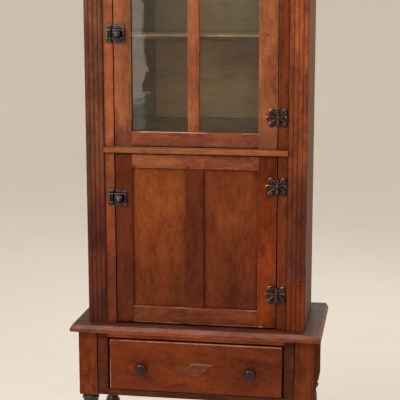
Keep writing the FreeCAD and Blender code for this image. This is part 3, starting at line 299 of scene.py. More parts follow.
class Tree:
    def __init__(self, name):
        self.mat = bpy.data.materials.new(name)
        self.mat.use_nodes = True
        self.t = self.mat.node_tree
        self.t.nodes.clear()

    def node(self, kind, **props):
        n = self.t.nodes.new(kind)
        for k, v in props.items():
            setattr(n, k, v)
        return n

    def put(self, socket, value):
        if isinstance(value, bpy.types.NodeSocket):
            self.t.links.new(value, socket)
        else:
            socket.default_value = value

    def attr(self, name, kind="GEOMETRY"):
        n = self.node("ShaderNodeAttribute", attribute_name=name, attribute_type=kind)
        return n

    def m(self, op, a, b=0.0, c=0.0, clamp=False):
        n = self.node("ShaderNodeMath", operation=op, use_clamp=clamp)
        self.put(n.inputs[0], a)
        self.put(n.inputs[1], b)
        if len(n.inputs) > 2:
            self.put(n.inputs[2], c)
        return n.outputs[0]

    def vm(self, op, a, b=(0, 0, 0)):
        n = self.node("ShaderNodeVectorMath", operation=op)
        self.put(n.inputs[0], a)
        self.put(n.inputs[1], b)
        return n.outputs[0]

    def sep(self, v):
        n = self.node("ShaderNodeSeparateXYZ")
        self.put(n.inputs[0], v)
        return n.outputs[0], n.outputs[1], n.outputs[2]

    def comb(self, x, y, z):
        n = self.node("ShaderNodeCombineXYZ")
        for i, k in enumerate((x, y, z)):
            self.put(n.inputs[i], k)
        return n.outputs[0]

    def noise(self, vec, scale=1.0, detail=2.0, rough=0.5, dist=0.0):
        n = self.node("ShaderNodeTexNoise")
        self.put(n.inputs["Vector"], vec)
        self.put(n.inputs["Scale"], scale)
        self.put(n.inputs["Detail"], detail)
        self.put(n.inputs["Roughness"], rough)
        self.put(n.inputs["Distortion"], dist)
        return n.outputs[0]

    def step(self, v, lo, hi, a=0.0, b=1.0):
        n = self.node("ShaderNodeMapRange", interpolation_type="SMOOTHSTEP")
        self.put(n.inputs[0], v)
        for i, k in enumerate((lo, hi, a, b)):
            self.put(n.inputs[i + 1], k)
        return n.outputs[0]

    def mix(self, fac, a, b, blend="MIX"):
        n = self.node("ShaderNodeMix", data_type="RGBA", blend_type=blend)
        self.put(n.inputs[0], fac)
        self.put(n.inputs[6], a)
        self.put(n.inputs[7], b)
        return n.outputs[2]

    def ramp(self, fac, stops):
        n = self.node("ShaderNodeValToRGB")
        e = n.color_ramp.elements
        while len(e) < len(stops):
            e.new(0.5)
        for k, (pos, col) in zip(e, stops):
            k.position = pos
            k.color = col
        self.put(n.inputs[0], fac)
        return n.outputs[0]

    def bump(self, height, strength=0.4, distance=0.001, normal=None):
        n = self.node("ShaderNodeBump")
        self.put(n.inputs["Strength"], strength)
        self.put(n.inputs["Distance"], distance)
        self.put(n.inputs["Height"], height)
        if normal is not None:
            self.put(n.inputs["Normal"], normal)
        return n.outputs[0]

    def surface(self, **inputs):
        b = self.node("ShaderNodeBsdfPrincipled")
        for k, v in inputs.items():
            self.put(b.inputs[k.replace("_", " ")], v)
        o = self.node("ShaderNodeOutputMaterial")
        self.t.links.new(b.outputs[0], o.inputs[0])
        return self.mat


def tint(c, k):
    return (c[0] * k[0], c[1] * k[1], c[2] * k[2], 1.0)


def wood(name, mid, gain=(1, 1, 1), contrast=1.0, rough=0.42, ring=0.0055, ring_amount=0.07, streak=0.34, mottle=0.66, wear_and_highlight=0.35,
         wear_and_highlight_colour=None, grime_and_shade=0.55, spots=0.6, marks=(), dots=16.0, specular=0.2, bump=0.35, painted_falloff=None, side=None, inner=None, bare=None, dull_and_sheen=None, ledge=(0.0006, 0.0030), patchy=(0.40, 0.60),
         strip=None, rear=None, side_sheen=0.24):
    """Old varnished wood: faint growth rings, fibres, blotches of thick and thin finish, dirty corners with painted
    shade over them, worn edges with a painted highlight on some, and on some boards a painted falloff towards the
    bottom and painted sheen in dull patches.
    """
    T = Tree(name)
    mid = tint(mid, gain)
    dark = tint(mid, (1 - 0.58 * contrast, 1 - 0.68 * contrast, 1 - 0.70 * contrast))
    light = tint(mid, (1 + 0.62 * contrast, 1 + 0.80 * contrast, 1 + 0.80 * contrast))
    g = T.attr("gco").outputs["Vector"]
    w, u, v = T.sep(g)
    pos = T.node("ShaderNodeTexCoord").outputs["Object"]
    px, py, pz = T.sep(pos)
    # the slow wander of the trunk along the board
    wander = T.noise(T.comb(T.m("MULTIPLY", w, 1.6), T.m("MULTIPLY", u, 7), T.m("MULTIPLY", v, 7)), 1.0, 2.0, 0.5)
    rad = T.m("SQRT", T.m("ADD", T.m("MULTIPLY", u, u), T.m("MULTIPLY", v, v)))
    rad = T.m("ADD", rad, T.m("MULTIPLY", T.m("SUBTRACT", wander, 0.5), 0.06))
    stain_and_shade = None
    # marks are knots, stains and holes, and on some boards painted shade round the hinge leaves: (x, z, half width,
    # half height, turn, amount)
    for mx_, mz_, rx_, rz_, turn, amount in marks:
        c = place([mx_, 0, mz_])
        ca, sa = math.cos(math.radians(turn)), math.sin(math.radians(turn))
        ax = T.m("SUBTRACT", px, float(c[0]))
        az = T.m("SUBTRACT", pz, float(c[2]))
        ex = T.m("MULTIPLY", T.m("ADD", T.m("MULTIPLY", ax, ca), T.m("MULTIPLY", az, sa)), 1000.0 / rx_)
        ez = T.m("MULTIPLY", T.m("SUBTRACT", T.m("MULTIPLY", az, ca), T.m("MULTIPLY", ax, sa)), 1000.0 / rz_)
        d = T.m("SQRT", T.m("ADD", T.m("MULTIPLY", ex, ex), T.m("MULTIPLY", ez, ez)))
        if rx_ > 6:
            rad = T.m("ADD", rad, T.m("MULTIPLY", T.step(d, 0.0, 3.0, 1.0, 0.0), 0.010))
        d = T.m("ADD", d, T.m("MULTIPLY", T.m("SUBTRACT", T.noise(pos, 260.0, 2.0), 0.5), 1.1))
        k = T.step(d, 0.45, 1.35, amount, 0.0)
        stain_and_shade = k if stain_and_shade is None else T.m("MAXIMUM", stain_and_shade, k)
    rings = T.m("SINE", T.m("MULTIPLY", rad, 2 * math.pi / ring))
    rings = T.m("MULTIPLY", rings, T.noise(T.vm("MULTIPLY", g, (3.0, 24.0, 24.0)), 1.0, 1.0))
    fibre = T.noise(T.vm("MULTIPLY", g, (20.0, 210.0, 210.0)), 1.0, 3.0, 0.6)
    band = T.noise(T.vm("MULTIPLY", g, (8.0, 56.0, 56.0)), 1.0, 3.0, 0.6, 0.8)
    cloud = T.noise(T.vm("MULTIPLY", g, (5.0, 13.0, 13.0)), 1.0, 4.0, 0.58, 0.5)
    patch = T.noise(T.vm("MULTIPLY", g, (22.0, 40.0, 40.0)), 1.0, 3.0, 0.6, 0.9)
    small = T.noise(T.vm("MULTIPLY", g, (66.0, 100.0, 100.0)), 1.0, 3.0, 0.6, 0.5)
    t = T.m("ADD", 0.5, T.m("MULTIPLY", rings, ring_amount))
    t = T.m("ADD", t, T.m("MULTIPLY", T.m("SUBTRACT", band, 0.5), streak * 1.25))
    t = T.m("ADD", t, T.m("MULTIPLY", T.m("SUBTRACT", fibre, 0.5), streak * 0.8))
    t = T.m("ADD", t, T.m("MULTIPLY", T.m("SUBTRACT", cloud, 0.5), mottle * 2.0))
    t = T.m("ADD", t, T.m("MULTIPLY", T.m("SUBTRACT", patch, 0.5), mottle * 1.25))
    t = T.m("ADD", t, T.m("MULTIPLY", T.m("SUBTRACT", small, 0.5), mottle * 0.70))
    t = T.m("ADD", t, T.attr("tone").outputs["Fac"], clamp=True)
    col = T.ramp(t, [(0.0, dark), (0.5, mid), (1.0, light)])
    # the stain is redder in some places and browner in others
    hue = T.noise(T.vm("MULTIPLY", g, (6.0, 17.0, 17.0)), 1.0, 3.0, 0.6, 0.3)
    col = T.mix(T.step(hue, 0.52, 0.72, 0.0, 0.55), col, T.mix(1.0, col, (1.05, 0.80, 0.86, 1), "MULTIPLY"))
    col = T.mix(T.step(hue, 0.30, 0.46, 0.50, 0.0), col, T.mix(1.0, col, (0.97, 1.16, 0.98, 1), "MULTIPLY"))
    if dull_and_sheen is not None:
        # the finish is dull and greyish-pink in patches: partly a dull finish, partly painted sheen of the varnish
        dull = T.noise(T.vm("MULTIPLY", g, (7.0, 26.0, 26.0)), 1.0, 4.0, 0.62, 0.6)
        col = T.mix(T.step(dull, 0.46, 0.66, 0.0, dull_and_sheen[1]), col, dull_and_sheen[0])
    if painted_falloff is not None:
        # painted light: the colour changes towards the bottom, standing in for light that falls off lower down and for
        # sheen higher up: (low z, high z) in millimetres and the colour factor at the low end
        lo_, hi_ = [float(place([0, 0, q])[2]) for q in painted_falloff[:2]]
        col = T.mix(T.step(pz, lo_, hi_, 1.0, 0.0), col, T.mix(1.0, col, tint(painted_falloff[2], (1, 1, 1)), "MULTIPLY"))
    matt = sheen = None
    if strip is not None:
        # painted reflection: a darker upright strip at the left, standing in for a dark reflection in the door glass:
        # (its right edge in millimetres, amount)
        ragged_x = T.m("ADD", px, T.m("MULTIPLY", T.m("SUBTRACT", T.noise(pos, 30.0, 3.0), 0.5), 0.006))
        edge_x = float(place([strip[0], 0, 0])[0])
        col = T.mix(T.step(ragged_x, edge_x - 0.002, edge_x + 0.002, strip[1], 0.0), col, tint(dark, (0.45, 0.42, 0.38)))
    for shade, sign in ((side, 1), (inner, -1)):
        # faces turned away from the middle, or towards it, have a duller finish of their own
        if shade is not None:
            nx = T.m("MULTIPLY", T.sep(T.node("ShaderNodeNewGeometry").outputs["Normal"])[0], T.m("SIGN", px))
            grain = T.m("ADD", T.m("MULTIPLY", cloud, 0.40), T.m("MULTIPLY", band, 0.60))
            other = T.mix(grain, tint(shade, (0.5, 0.48, 0.46)), tint(shade, (1.5, 1.52, 1.54)))
            turned = T.step(T.m("MULTIPLY", nx, float(sign)), 0.75, 0.95, 0.0, 0.85)
            col = T.mix(turned, col, other)
            if sign > 0:
                sheen = turned
            else:
                matt = turned
    if rear is not None:
        # the back is bare wood that has gone brown
        ny = T.sep(T.node("ShaderNodeNewGeometry").outputs["Normal"])[1]
        grain = T.m("ADD", T.m("MULTIPLY", cloud, 0.45), T.m("MULTIPLY", band, 0.55))
        grain = T.m("ADD", grain, T.m("MULTIPLY", T.attr("tone").outputs["Fac"], 2.2), clamp=True)
        other = T.mix(grain, tint(rear, (0.5, 0.47, 0.44)), tint(rear, (1.5, 1.53, 1.56)))
        col = T.mix(T.step(ny, 0.6, 0.9), col, other)
    # distance to the nearest edge of the board
    d3 = T.vm("MINIMUM", T.attr("dlo").outputs["Vector"], T.attr("dhi").outputs["Vector"])
    dx, dy, dz = T.sep(d3)
    e = T.m("MAXIMUM", T.m("MINIMUM", dx, dy), T.m("MINIMUM", T.m("MAXIMUM", dx, dy), dz))
    ragged = T.noise(pos, 55.0, 3.0, 0.6)
    soft = T.noise(pos, 9.0, 2.0, 0.5)
    edge = T.step(T.m("ADD", e, T.m("MULTIPLY", T.m("SUBTRACT", ragged, 0.5), 0.0035)), ledge[0], ledge[1], 1.0, 0.0)
    # worn edges are paler; on the drawer and the door rails the pale edge also paints the highlight where light catches
    # the rounded top arris
    worn = T.m("MULTIPLY", edge, T.step(soft, patchy[0], patchy[1]))
    wc = wear_and_highlight_colour or tint(light, (1.12, 1.3, 1.5))
    # dirt and old varnish gathered near the edges, with painted shade over it: darker where ambient occlusion finds
    # corners, gaps and grooves, and where the mesh's own attribute asks, which holds dirt on some pieces and painted
    # shade on others
    near = T.step(e, 0.0, 0.016, 1.0, 0.0)
    far = T.m("MULTIPLY", near, T.step(T.m("ADD", T.m("MULTIPLY", ragged, 0.5), T.m("MULTIPLY", soft, 0.5)), 0.42, 0.64))
    dirt = T.m("MAXIMUM", T.m("MULTIPLY", far, grime_and_shade * 0.8), T.m("MULTIPLY", T.attr("dirt").outputs["Fac"], 0.85), clamp=True)
    # painted shade: ambient occlusion darkens the colour in corners, gaps and grooves
    ao = T.node("ShaderNodeAmbientOcclusion", samples=4)
    ao.inputs["Distance"].default_value = 0.018
    ao_shade = T.step(ao.outputs["AO"], 0.30, 0.92, 0.75, 0.0)
    dirt = T.m("MAXIMUM", dirt, T.m("MULTIPLY", ao_shade, min(1.0, grime_and_shade * 1.3)))
    black = tint(mid, (0.11, 0.10, 0.12))
    col = T.mix(dirt, col, black)
    col = T.mix(T.m("MULTIPLY", worn, wear_and_highlight), col, wc)
    if bare is not None:
        # a chip that shows the raw wood: (x, z, half width, half height) in millimetres
        c = place([bare[0], 0, bare[1]])
        ex = T.m("MULTIPLY", T.m("SUBTRACT", px, float(c[0])), 1000.0 / bare[2])
        ez = T.m("MULTIPLY", T.m("SUBTRACT", pz, float(c[2])), 1000.0 / bare[3])
        d = T.m("SQRT", T.m("ADD", T.m("MULTIPLY", ex, ex), T.m("MULTIPLY", ez, ez)))
        d = T.m("ADD", d, T.m("MULTIPLY", T.m("SUBTRACT", T.noise(pos, 150.0, 3.0), 0.5), 1.6))
        col = T.mix(T.step(d, 0.75, 1.05, 0.9, 0.0), col, T.mix(T.noise(pos, 300.0, 2.0), lin(150, 112, 66), lin(214, 178, 122)))
    # nail holes, nicks and small stains, with the listed marks, some of which are painted shade round the hinges
    nicks = T.step(T.noise(T.vm("MULTIPLY", pos, (1, 1, 0.6)), 120.0, 2.0, 0.5), 0.70, 0.79)
    flecks = T.step(T.noise(T.vm("MULTIPLY", pos, (1.0, 1.0, 0.7)), 230.0, 1.0, 0.5), 0.66, 0.76)
    nicks = T.m("MAXIMUM", nicks, T.m("MULTIPLY", T.m("MULTIPLY", flecks, T.step(soft, 0.44, 0.58)), 0.55))
    vor = T.node("ShaderNodeTexVoronoi", feature="F1")
    T.put(vor.inputs["Vector"], pos)
    vor.inputs["Scale"].default_value = dots
    pick = T.step(T.sep(vor.outputs["Color"])[0], 0.45, 0.50)
    hole = T.m("MULTIPLY", T.step(vor.outputs["Distance"], 0.0010 * dots, 0.0021 * dots, 1.0, 0.0), pick)
    nicks = T.m("MAXIMUM", nicks, hole)
    if stain_and_shade is not None:
        nicks = T.m("MAXIMUM", nicks, stain_and_shade)
    col = T.mix(T.m("MULTIPLY", nicks, spots), col, tint(black, (0.8, 0.8, 0.8)))
    ro = T.m("ADD", rough, T.m("MULTIPLY", T.m("SUBTRACT", cloud, 0.5), 0.30))
    ro = T.m("ADD", ro, T.m("MULTIPLY", dirt, 0.18), clamp=True)
    if sheen is not None:
        ro = T.m("MAXIMUM", ro, T.m("MULTIPLY", sheen, 0.66))
        plain = T.m("SUBTRACT", 1.0, T.m("MULTIPLY", sheen, 1.2), clamp=True)
        specular = T.m("ADD", T.m("MULTIPLY", plain, specular), T.m("MULTIPLY", sheen, side_sheen))
    if matt is not None:
        ro = T.m("MAXIMUM", ro, T.m("MULTIPLY", matt, 0.9))
        specular = T.m("MULTIPLY", T.m("SUBTRACT", 1.0, T.m("MULTIPLY", matt, 1.15), clamp=True), specular)
    h = T.m("ADD", T.m("MULTIPLY", fibre, 0.45), T.m("MULTIPLY", band, 0.5))
    h = T.m("ADD", h, T.m("MULTIPLY", T.noise(pos, 42.0, 2.0, 0.5), 0.9))
    h = T.m("SUBTRACT", h, T.m("MULTIPLY", nicks, 1.0))
    n = T.bump(h, bump, 0.0006)
    n2 = T.bump(T.noise(pos, 13.0, 1.0, 0.5), 0.30, 0.002, n)
    return T.surface(Base_Color=col, Roughness=ro, Normal=n2, Specular_IOR_Level=specular)


def metal(name, dark, mid, bright, copper=None, rough=0.36, metallic=0.8, scale=1.0, rub_and_highlight_amount=0.7, sharp=(0.50, 0.60)):
    """Cast iron, dark in the hollows and rubbed bright on the high places and edges, with painted highlights where the
    high attribute asks for them; the tone attribute says how coppery.
    """
    T = Tree(name)
    pos = T.node("ShaderNodeTexCoord").outputs["Object"]
    n1 = T.noise(pos, 90.0 * scale, 4.0, 0.6)
    n2 = T.noise(pos, 480.0 * scale, 3.0, 0.6)
    geo = T.node("ShaderNodeNewGeometry")
    point = T.step(geo.outputs["Pointiness"], sharp[0], sharp[1])
    ao = T.node("ShaderNodeAmbientOcclusion", samples=4)
    ao.inputs["Distance"].default_value = 0.005
    open_ = T.step(ao.outputs["AO"], 0.40, 0.95)
    col = T.ramp(T.m("ADD", n1, T.m("MULTIPLY", T.m("SUBTRACT", n2, 0.5), 0.3)), [(0.30, dark), (0.62, mid)])
    high = T.m("MAXIMUM", point, T.attr("high").outputs["Fac"])
    rub_and_highlight = T.m("MULTIPLY", T.m("MULTIPLY", high, open_), T.step(n1, 0.34, 0.62, 0.35, 1.0))
    shine = bright
    if copper is not None:
        shine = T.mix(T.attr("tone").outputs["Fac"], bright, copper)
    col = T.mix(T.m("MULTIPLY", rub_and_highlight, rub_and_highlight_amount), col, shine)
    col = T.mix(T.m("MULTIPLY", T.m("SUBTRACT", 1.0, open_), 0.9), col, tint(dark, (0.25, 0.25, 0.25)))
    ro = T.m("ADD", rough, T.m("MULTIPLY", T.m("SUBTRACT", n2, 0.5), 0.25), clamp=True)
    h = T.m("ADD", T.m("MULTIPLY", n1, 0.6), T.m("MULTIPLY", n2, 0.4))
    return T.surface(Base_Color=col, Metallic=metallic, Roughness=ro, Normal=T.bump(h, 0.25, 0.0004))


def glass(name):
    """Old drawn sheet glass: a clear pane with slow ripples."""
    T = Tree(name)
    pos = T.node("ShaderNodeTexCoord").outputs["Object"]
    ripple = T.noise(T.vm("MULTIPLY", pos, (13.0, 13.0, 15.0)), 1.0, 2.0, 0.45, 0.3)
    ripple = T.m("MULTIPLY", ripple, 0.34)
    ripple = T.m("ADD", ripple, T.m("MULTIPLY", T.noise(T.vm("MULTIPLY", pos, (34.0, 34.0, 58.0)), 1.0, 1.0, 0.5), 0.50))
    ripple = T.m("ADD", ripple, T.m("MULTIPLY", T.noise(T.vm("MULTIPLY", pos, (84.0, 84.0, 150.0)), 1.0, 1.0, 0.5), 0.13))
    n = T.bump(ripple, 1.0, 0.00022)
    clear = T.node("ShaderNodeBsdfTransparent")
    tint = T.mix(T.noise(pos, 3.0, 2.0), (0.89, 0.90, 0.86, 1), (0.84, 0.85, 0.81, 1))
    T.put(clear.inputs["Color"], tint)
    gloss = T.node("ShaderNodeBsdfGlossy")
    T.put(gloss.inputs["Roughness"], T.step(T.noise(pos, 30.0, 3.0), 0.3, 0.8, 0.0, 0.008))
    T.put(gloss.inputs["Color"], T.mix(T.step(T.noise(pos, 24.0, 3.0), 0.40, 0.62), (0.80, 0.93, 0.84, 1), (1.0, 0.92, 0.90, 1)))
    T.put(gloss.inputs["Normal"], n)
    fres = T.node("ShaderNodeFresnel")
    fres.inputs["IOR"].default_value = 1.5
    T.put(fres.inputs["Normal"], n)
    mx = T.node("ShaderNodeMixShader")
    fac = T.m("MINIMUM", T.m("MULTIPLY", fres.outputs[0], 0.75), 1.0)
    T.put(mx.inputs[0], fac)
    T.t.links.new(clear.outputs[0], mx.inputs[1])
    T.t.links.new(gloss.outputs[0], mx.inputs[2])
    dust = T.node("ShaderNodeBsdfDiffuse")
    T.put(dust.inputs["Color"], (0.55, 0.52, 0.45, 1))
    mx2 = T.node("ShaderNodeMixShader")
    T.put(mx2.inputs[0], T.step(T.noise(T.vm("MULTIPLY", pos, (1, 1, 1)), 18.0, 4.0, 0.65), 0.45, 0.85, 0.004, 0.035))
    T.t.links.new(mx.outputs[0], mx2.inputs[1])
    T.t.links.new(dust.outputs[0], mx2.inputs[2])
    o = T.node("ShaderNodeOutputMaterial")
    T.t.links.new(mx2.outputs[0], o.inputs[0])
    return T.mat


UP, LOW = 0.24, 0.12
CASE = wood("case_wood", lin(130, 62, 23), specular=UP, side=lin(108, 64, 36), streak=0.46, mottle=0.9, marks=(
    (290.5, 875, 2.0, 3.0, 0, 1.0), (313.8, 740, 2.2, 2.6, 0, 1.0), (327.0, 564, 1.6, 3.0, 0, 0.9), (322, 288, 2.4, 1.6, 0, 0.9),
    (310, 234.5, 9.0, 1.3, 14, 1.0)), painted_falloff=(400, 640, (0.47, 0.36, 0.36)))
CASE_L = wood("case_wood_left", lin(97, 50, 29), specular=UP, side=lin(108, 64, 36), painted_falloff=(230, 640, (0.76, 0.40, 0.24)), streak=0.46, mottle=0.95,
              marks=((-287.5, 299.6, 2.0, 2.4, 0, 1.0),))
# the four large marks at x 256 are painted shade round the hinge leaves
STILE_R = wood("face_stile_wood", lin(102, 44, 17), specular=LOW, mottle=0.85, marks=((248.6, 721, 2.4, 1.6, 0, 0.9), (256, 636, 22, 24, 0, 1.0), (256, 1141, 22, 24, 0, 1.0),
              (256, 433.5, 22, 24, 0, 1.0), (256, 107.8, 22, 24, 0, 1.0)))
REPAIR = wood("light_case_wood", lin(115, 48, 18), specular=LOW, grime_and_shade=0.45)
SIDE = wood("case_side_wood", lin(113, 69, 37), rough=0.66, specular=0.22, inner=lin(64, 50, 36), contrast=0.7, painted_falloff=(100, 900, (0.74, 0.70, 0.62)))
LIGHT = wood("light_stile_wood", lin(131, 67, 32), specular=UP, grime_and_shade=0.4, mottle=0.95, painted_falloff=(180, 560, (0.66, 0.39, 0.18)))
STRIP = wood("middle_strip_wood", lin(134, 71, 33), specular=UP, grime_and_shade=0.3, wear_and_highlight=0.7, mottle=0.8, marks=((-190, 533, 3.0, 1.6, 0, 0.9), (40, 534, 2.4, 1.6, 0, 0.8)))
# the two large marks at x 230 are painted shade round the hinge leaves
DOOR = wood("door_wood", lin(133, 71, 37), specular=UP, wear_and_highlight=0.5, mottle=0.8, dull_and_sheen=(lin(150, 92, 62), 0.25), painted_falloff=(565, 650, (0.60, 0.53, 0.58)), marks=(
    (230, 636, 22, 24, 0, 1.0), (230, 1141, 22, 24, 0, 1.0), (211.0, 873.7, 5.5, 3.6, 0, 0.85), (212, 748, 9, 4.0, 20, 0.45), (-237.9, 806, 2.0, 7.0, -14, 0.8), (-204.4, 768, 2.2, 3.4, 0, 0.9),
    (-208.5, 775, 1.6, 1.8, 0, 0.8), (-10.3, 810, 2.2, 3.4, 0, 0.9), (7.6, 768.5, 1.8, 2.6, 0, 1.0), (-9.9, 960, 2.0, 3.0, 0, 0.8)))
# RAIL_U and RAIL_B have strong pale edges, partly worn and partly a painted highlight on the lit top arris
RAIL_U = wood("upper_rail_wood", lin(118, 58, 36), specular=UP, wear_and_highlight=0.95, wear_and_highlight_colour=lin(206, 158, 134), mottle=0.75, ledge=(0.0008, 0.0034))
RAIL_L = wood("lower_rail_wood", lin(130, 71, 42), specular=LOW, wear_and_highlight=0.6, mottle=0.7, marks=(
    (-136, 504, 26, 7, 4, 0.35), (-186, 484, 9, 5, 0, 1.0), (-22, 484, 9, 4.5, 0, 0.9), (70.9, 511, 2.4, 1.8, 0, 0.9), (78, 496, 1.6, 4.0, 10, 0.7)))
RAIL_B = wood("bottom_rail_wood", lin(108, 53, 29), specular=LOW, wear_and_highlight=0.95, wear_and_highlight_colour=lin(176, 118, 92), mottle=0.85, ledge=(0.0008, 0.0036))
# the two large marks at x 230 are painted shade round the hinge leaves
STILE_LR = wood("lower_stile_right_wood", lin(118, 48, 11), specular=LOW, wear_and_highlight=0.45, mottle=0.85, bare=(197.0, 3.0, 10.0, 6.0), marks=(
    (230, 433.5, 22, 24, 0, 1.0), (230, 107.8, 22, 24, 0, 1.0)))
DOOR_DARK = wood("door_dark_wood", lin(87, 35, 15), specular=LOW, wear_and_highlight=0.5, mottle=0.6, marks=((-195.5, 300.4, 2.6, 4.0, 0, 0.9),))
PANEL = wood("panel_wood", lin(113, 53, 20), specular=LOW, mottle=0.85, ring_amount=0.05, grime_and_shade=0.5, painted_falloff=(110, 330, (0.62, 0.56, 0.60)), marks=(
    (101, 349.8, 2.2, 2.6, 0, 0.9), (-150, 372, 3.0, 2.2, 0, 0.5)))
STAND_RAIL = wood("stand_rail_wood", lin(82, 40, 20), specular=LOW, grime_and_shade=0.6, mottle=0.75)
# a lighter copy of the stand wood for the upper front rail: painted light against the shadow under the top board's
# overhang
STAND_UP_LIT = wood("stand_upper_rail_lit_wood", lin(148, 70, 30), specular=LOW, grime_and_shade=0.25, mottle=0.8)
PANEL_R = wood("panel_wood_right", lin(101, 45, 19), specular=LOW, mottle=0.8, ring_amount=0.05, grime_and_shade=0.7, painted_falloff=(70, 330, (0.72, 0.64, 0.66)))
STAND = wood("stand_wood", lin(101, 43, 12), specular=LOW, side=lin(74, 44, 29), side_sheen=0.0, mottle=0.95, wear_and_highlight=0.7, marks=((-341, -168, 13, 4, 10, 0.6), (-330, -182, 4, 13, 0, 0.55)))
STAND_DARK = wood("stand_dark_wood", lin(80, 34, 17), specular=LOW, grime_and_shade=0.6, mottle=0.75)
# DRAWER's strong pale edges are a painted highlight on the rounded top and left edges, with wear
DRAWER = wood("drawer_wood", lin(106, 45, 15), specular=LOW, ring_amount=0.04, mottle=0.75, wear_and_highlight=0.80, wear_and_highlight_colour=lin(196, 138, 112),
              ledge=(0.0012, 0.0042), patchy=(0.28, 0.46), streak=0.12, grime_and_shade=0.4, marks=(
    (26.3, -79.6, 22, 5, -8, 0.5), (-194, -115, 12, 5, 0, 0.3)))
TOPB = wood("top_board_wood", lin(116, 59, 35), rough=0.38, specular=0.28, mottle=0.85, wear_and_highlight=0.6, wear_and_highlight_colour=lin(170, 96, 60), dots=9.0,
            dull_and_sheen=(lin(134, 92, 86), 0.70), painted_falloff=(-15, -9, (1.10, 0.84, 0.42)))
LOZ = wood("lozenge_wood", lin(100, 51, 29), specular=0.2, wear_and_highlight=1.0, wear_and_highlight_colour=lin(136, 112, 100), ledge=(0.0012, 0.0042))
EBONY = wood("leg_dark_wood", lin(34, 26, 25), rough=0.30, specular=0.5, wear_and_highlight=0.2, contrast=0.8)
KNOBW = wood("knob_wood", lin(34, 19, 16), rough=0.22, specular=0.34, contrast=0.7, spots=0.2, grime_and_shade=0.3, wear_and_highlight=0.0)
PLAIN = wood("plain_wood", lin(158, 116, 74), rough=0.65, specular=0.15, grime_and_shade=0.5, contrast=0.6, ring_amount=0.2)
BACKW = wood("back_wood", lin(110, 82, 56), rough=0.7, specular=0.15, grime_and_shade=0.6, contrast=0.7, ring_amount=0.2)
# strip on this and the next material paints the dark reflection of the door glass onto the back boards
INNER = wood("inner_painted_wood", lin(202, 162, 128), rough=0.6, specular=0.15, ring_amount=0.10, mottle=0.4, grime_and_shade=0.45, contrast=0.6, wear_and_highlight=0.0,
             spots=0.3, strip=(-168.0, 0.62), rear=lin(126, 92, 62))
INNER_TOP = wood("inner_top_wood", lin(178, 152, 130), rough=0.6, specular=0.15, ring_amount=0.10, mottle=0.4, grime_and_shade=0.45, contrast=0.6, wear_and_highlight=0.0,
                 spots=0.3, strip=(-168.0, 0.5), rear=lin(126, 92, 62))
SHELF_EDGE_SHADE = wood("shelf_edge_shade_wood", lin(104, 84, 64), rough=0.6, specular=0.15, mottle=0.4, grime_and_shade=0.2, contrast=0.6, wear_and_highlight=0.0)
INNER_SIDE = wood("inner_side_wood", lin(100, 82, 60), rough=0.6, specular=0.15, mottle=0.4, grime_and_shade=0.5, contrast=0.6, wear_and_highlight=0.0)
INNER_LOW = wood("inner_low_wood", lin(144, 114, 86), rough=0.6, specular=0.15, mottle=0.5, grime_and_shade=0.5, contrast=0.6, wear_and_highlight=0.0, rear=lin(126, 92, 62))
SHELF = wood("shelf_wood", lin(246, 222, 188), rough=0.55, specular=0.2, mottle=0.5, contrast=0.7, wear_and_highlight=0.0, grime_and_shade=0.08)
SHELF_EDGE = wood("shelf_edge_wood", lin(226, 176, 136), rough=0.55, specular=0.2, mottle=1.3, contrast=0.8, grime_and_shade=0.1, wear_and_highlight=0.0)
IRON_H = metal("hinge_iron", lin(18, 15, 14), lin(46, 38, 35), lin(180, 164, 152), copper=lin(255, 162, 132), rough=0.30, rub_and_highlight_amount=1.0, sharp=(0.54, 0.68))
IRON_L = metal("latch_iron", lin(12, 11, 12), lin(34, 32, 31), lin(190, 186, 178), rough=0.26, rub_and_highlight_amount=0.7, sharp=(0.56, 0.74))
IRON_K = metal("latch_knob_iron", lin(24, 23, 25), lin(58, 55, 57), lin(226, 224, 222), rough=0.22, rub_and_highlight_amount=0.85, sharp=(0.62, 0.80))
IRON_B = metal("latch_flange_iron", lin(40, 31, 31), lin(82, 67, 66), lin(170, 160, 150), rough=0.42, rub_and_highlight_amount=0.4, sharp=(0.56, 0.72))
IRON_SHADE = metal("latch_flange_shade_iron", lin(22, 17, 17), lin(54, 42, 40), lin(170, 156, 158), rough=0.42, rub_and_highlight_amount=0.5, sharp=(0.54, 0.70))
STEEL = metal("screw_steel", lin(44, 38, 34), lin(84, 74, 66), lin(190, 176, 160), metallic=0.8, rub_and_highlight_amount=0.5)
GLASS = glass("old_glass")

# ------------------------------------------------------------------ the stand
C = "cabinet"
PX = ((-360, -303), (303, 360))
PYS = ((23, 80), (301, 358))
TOPZ = -228.3


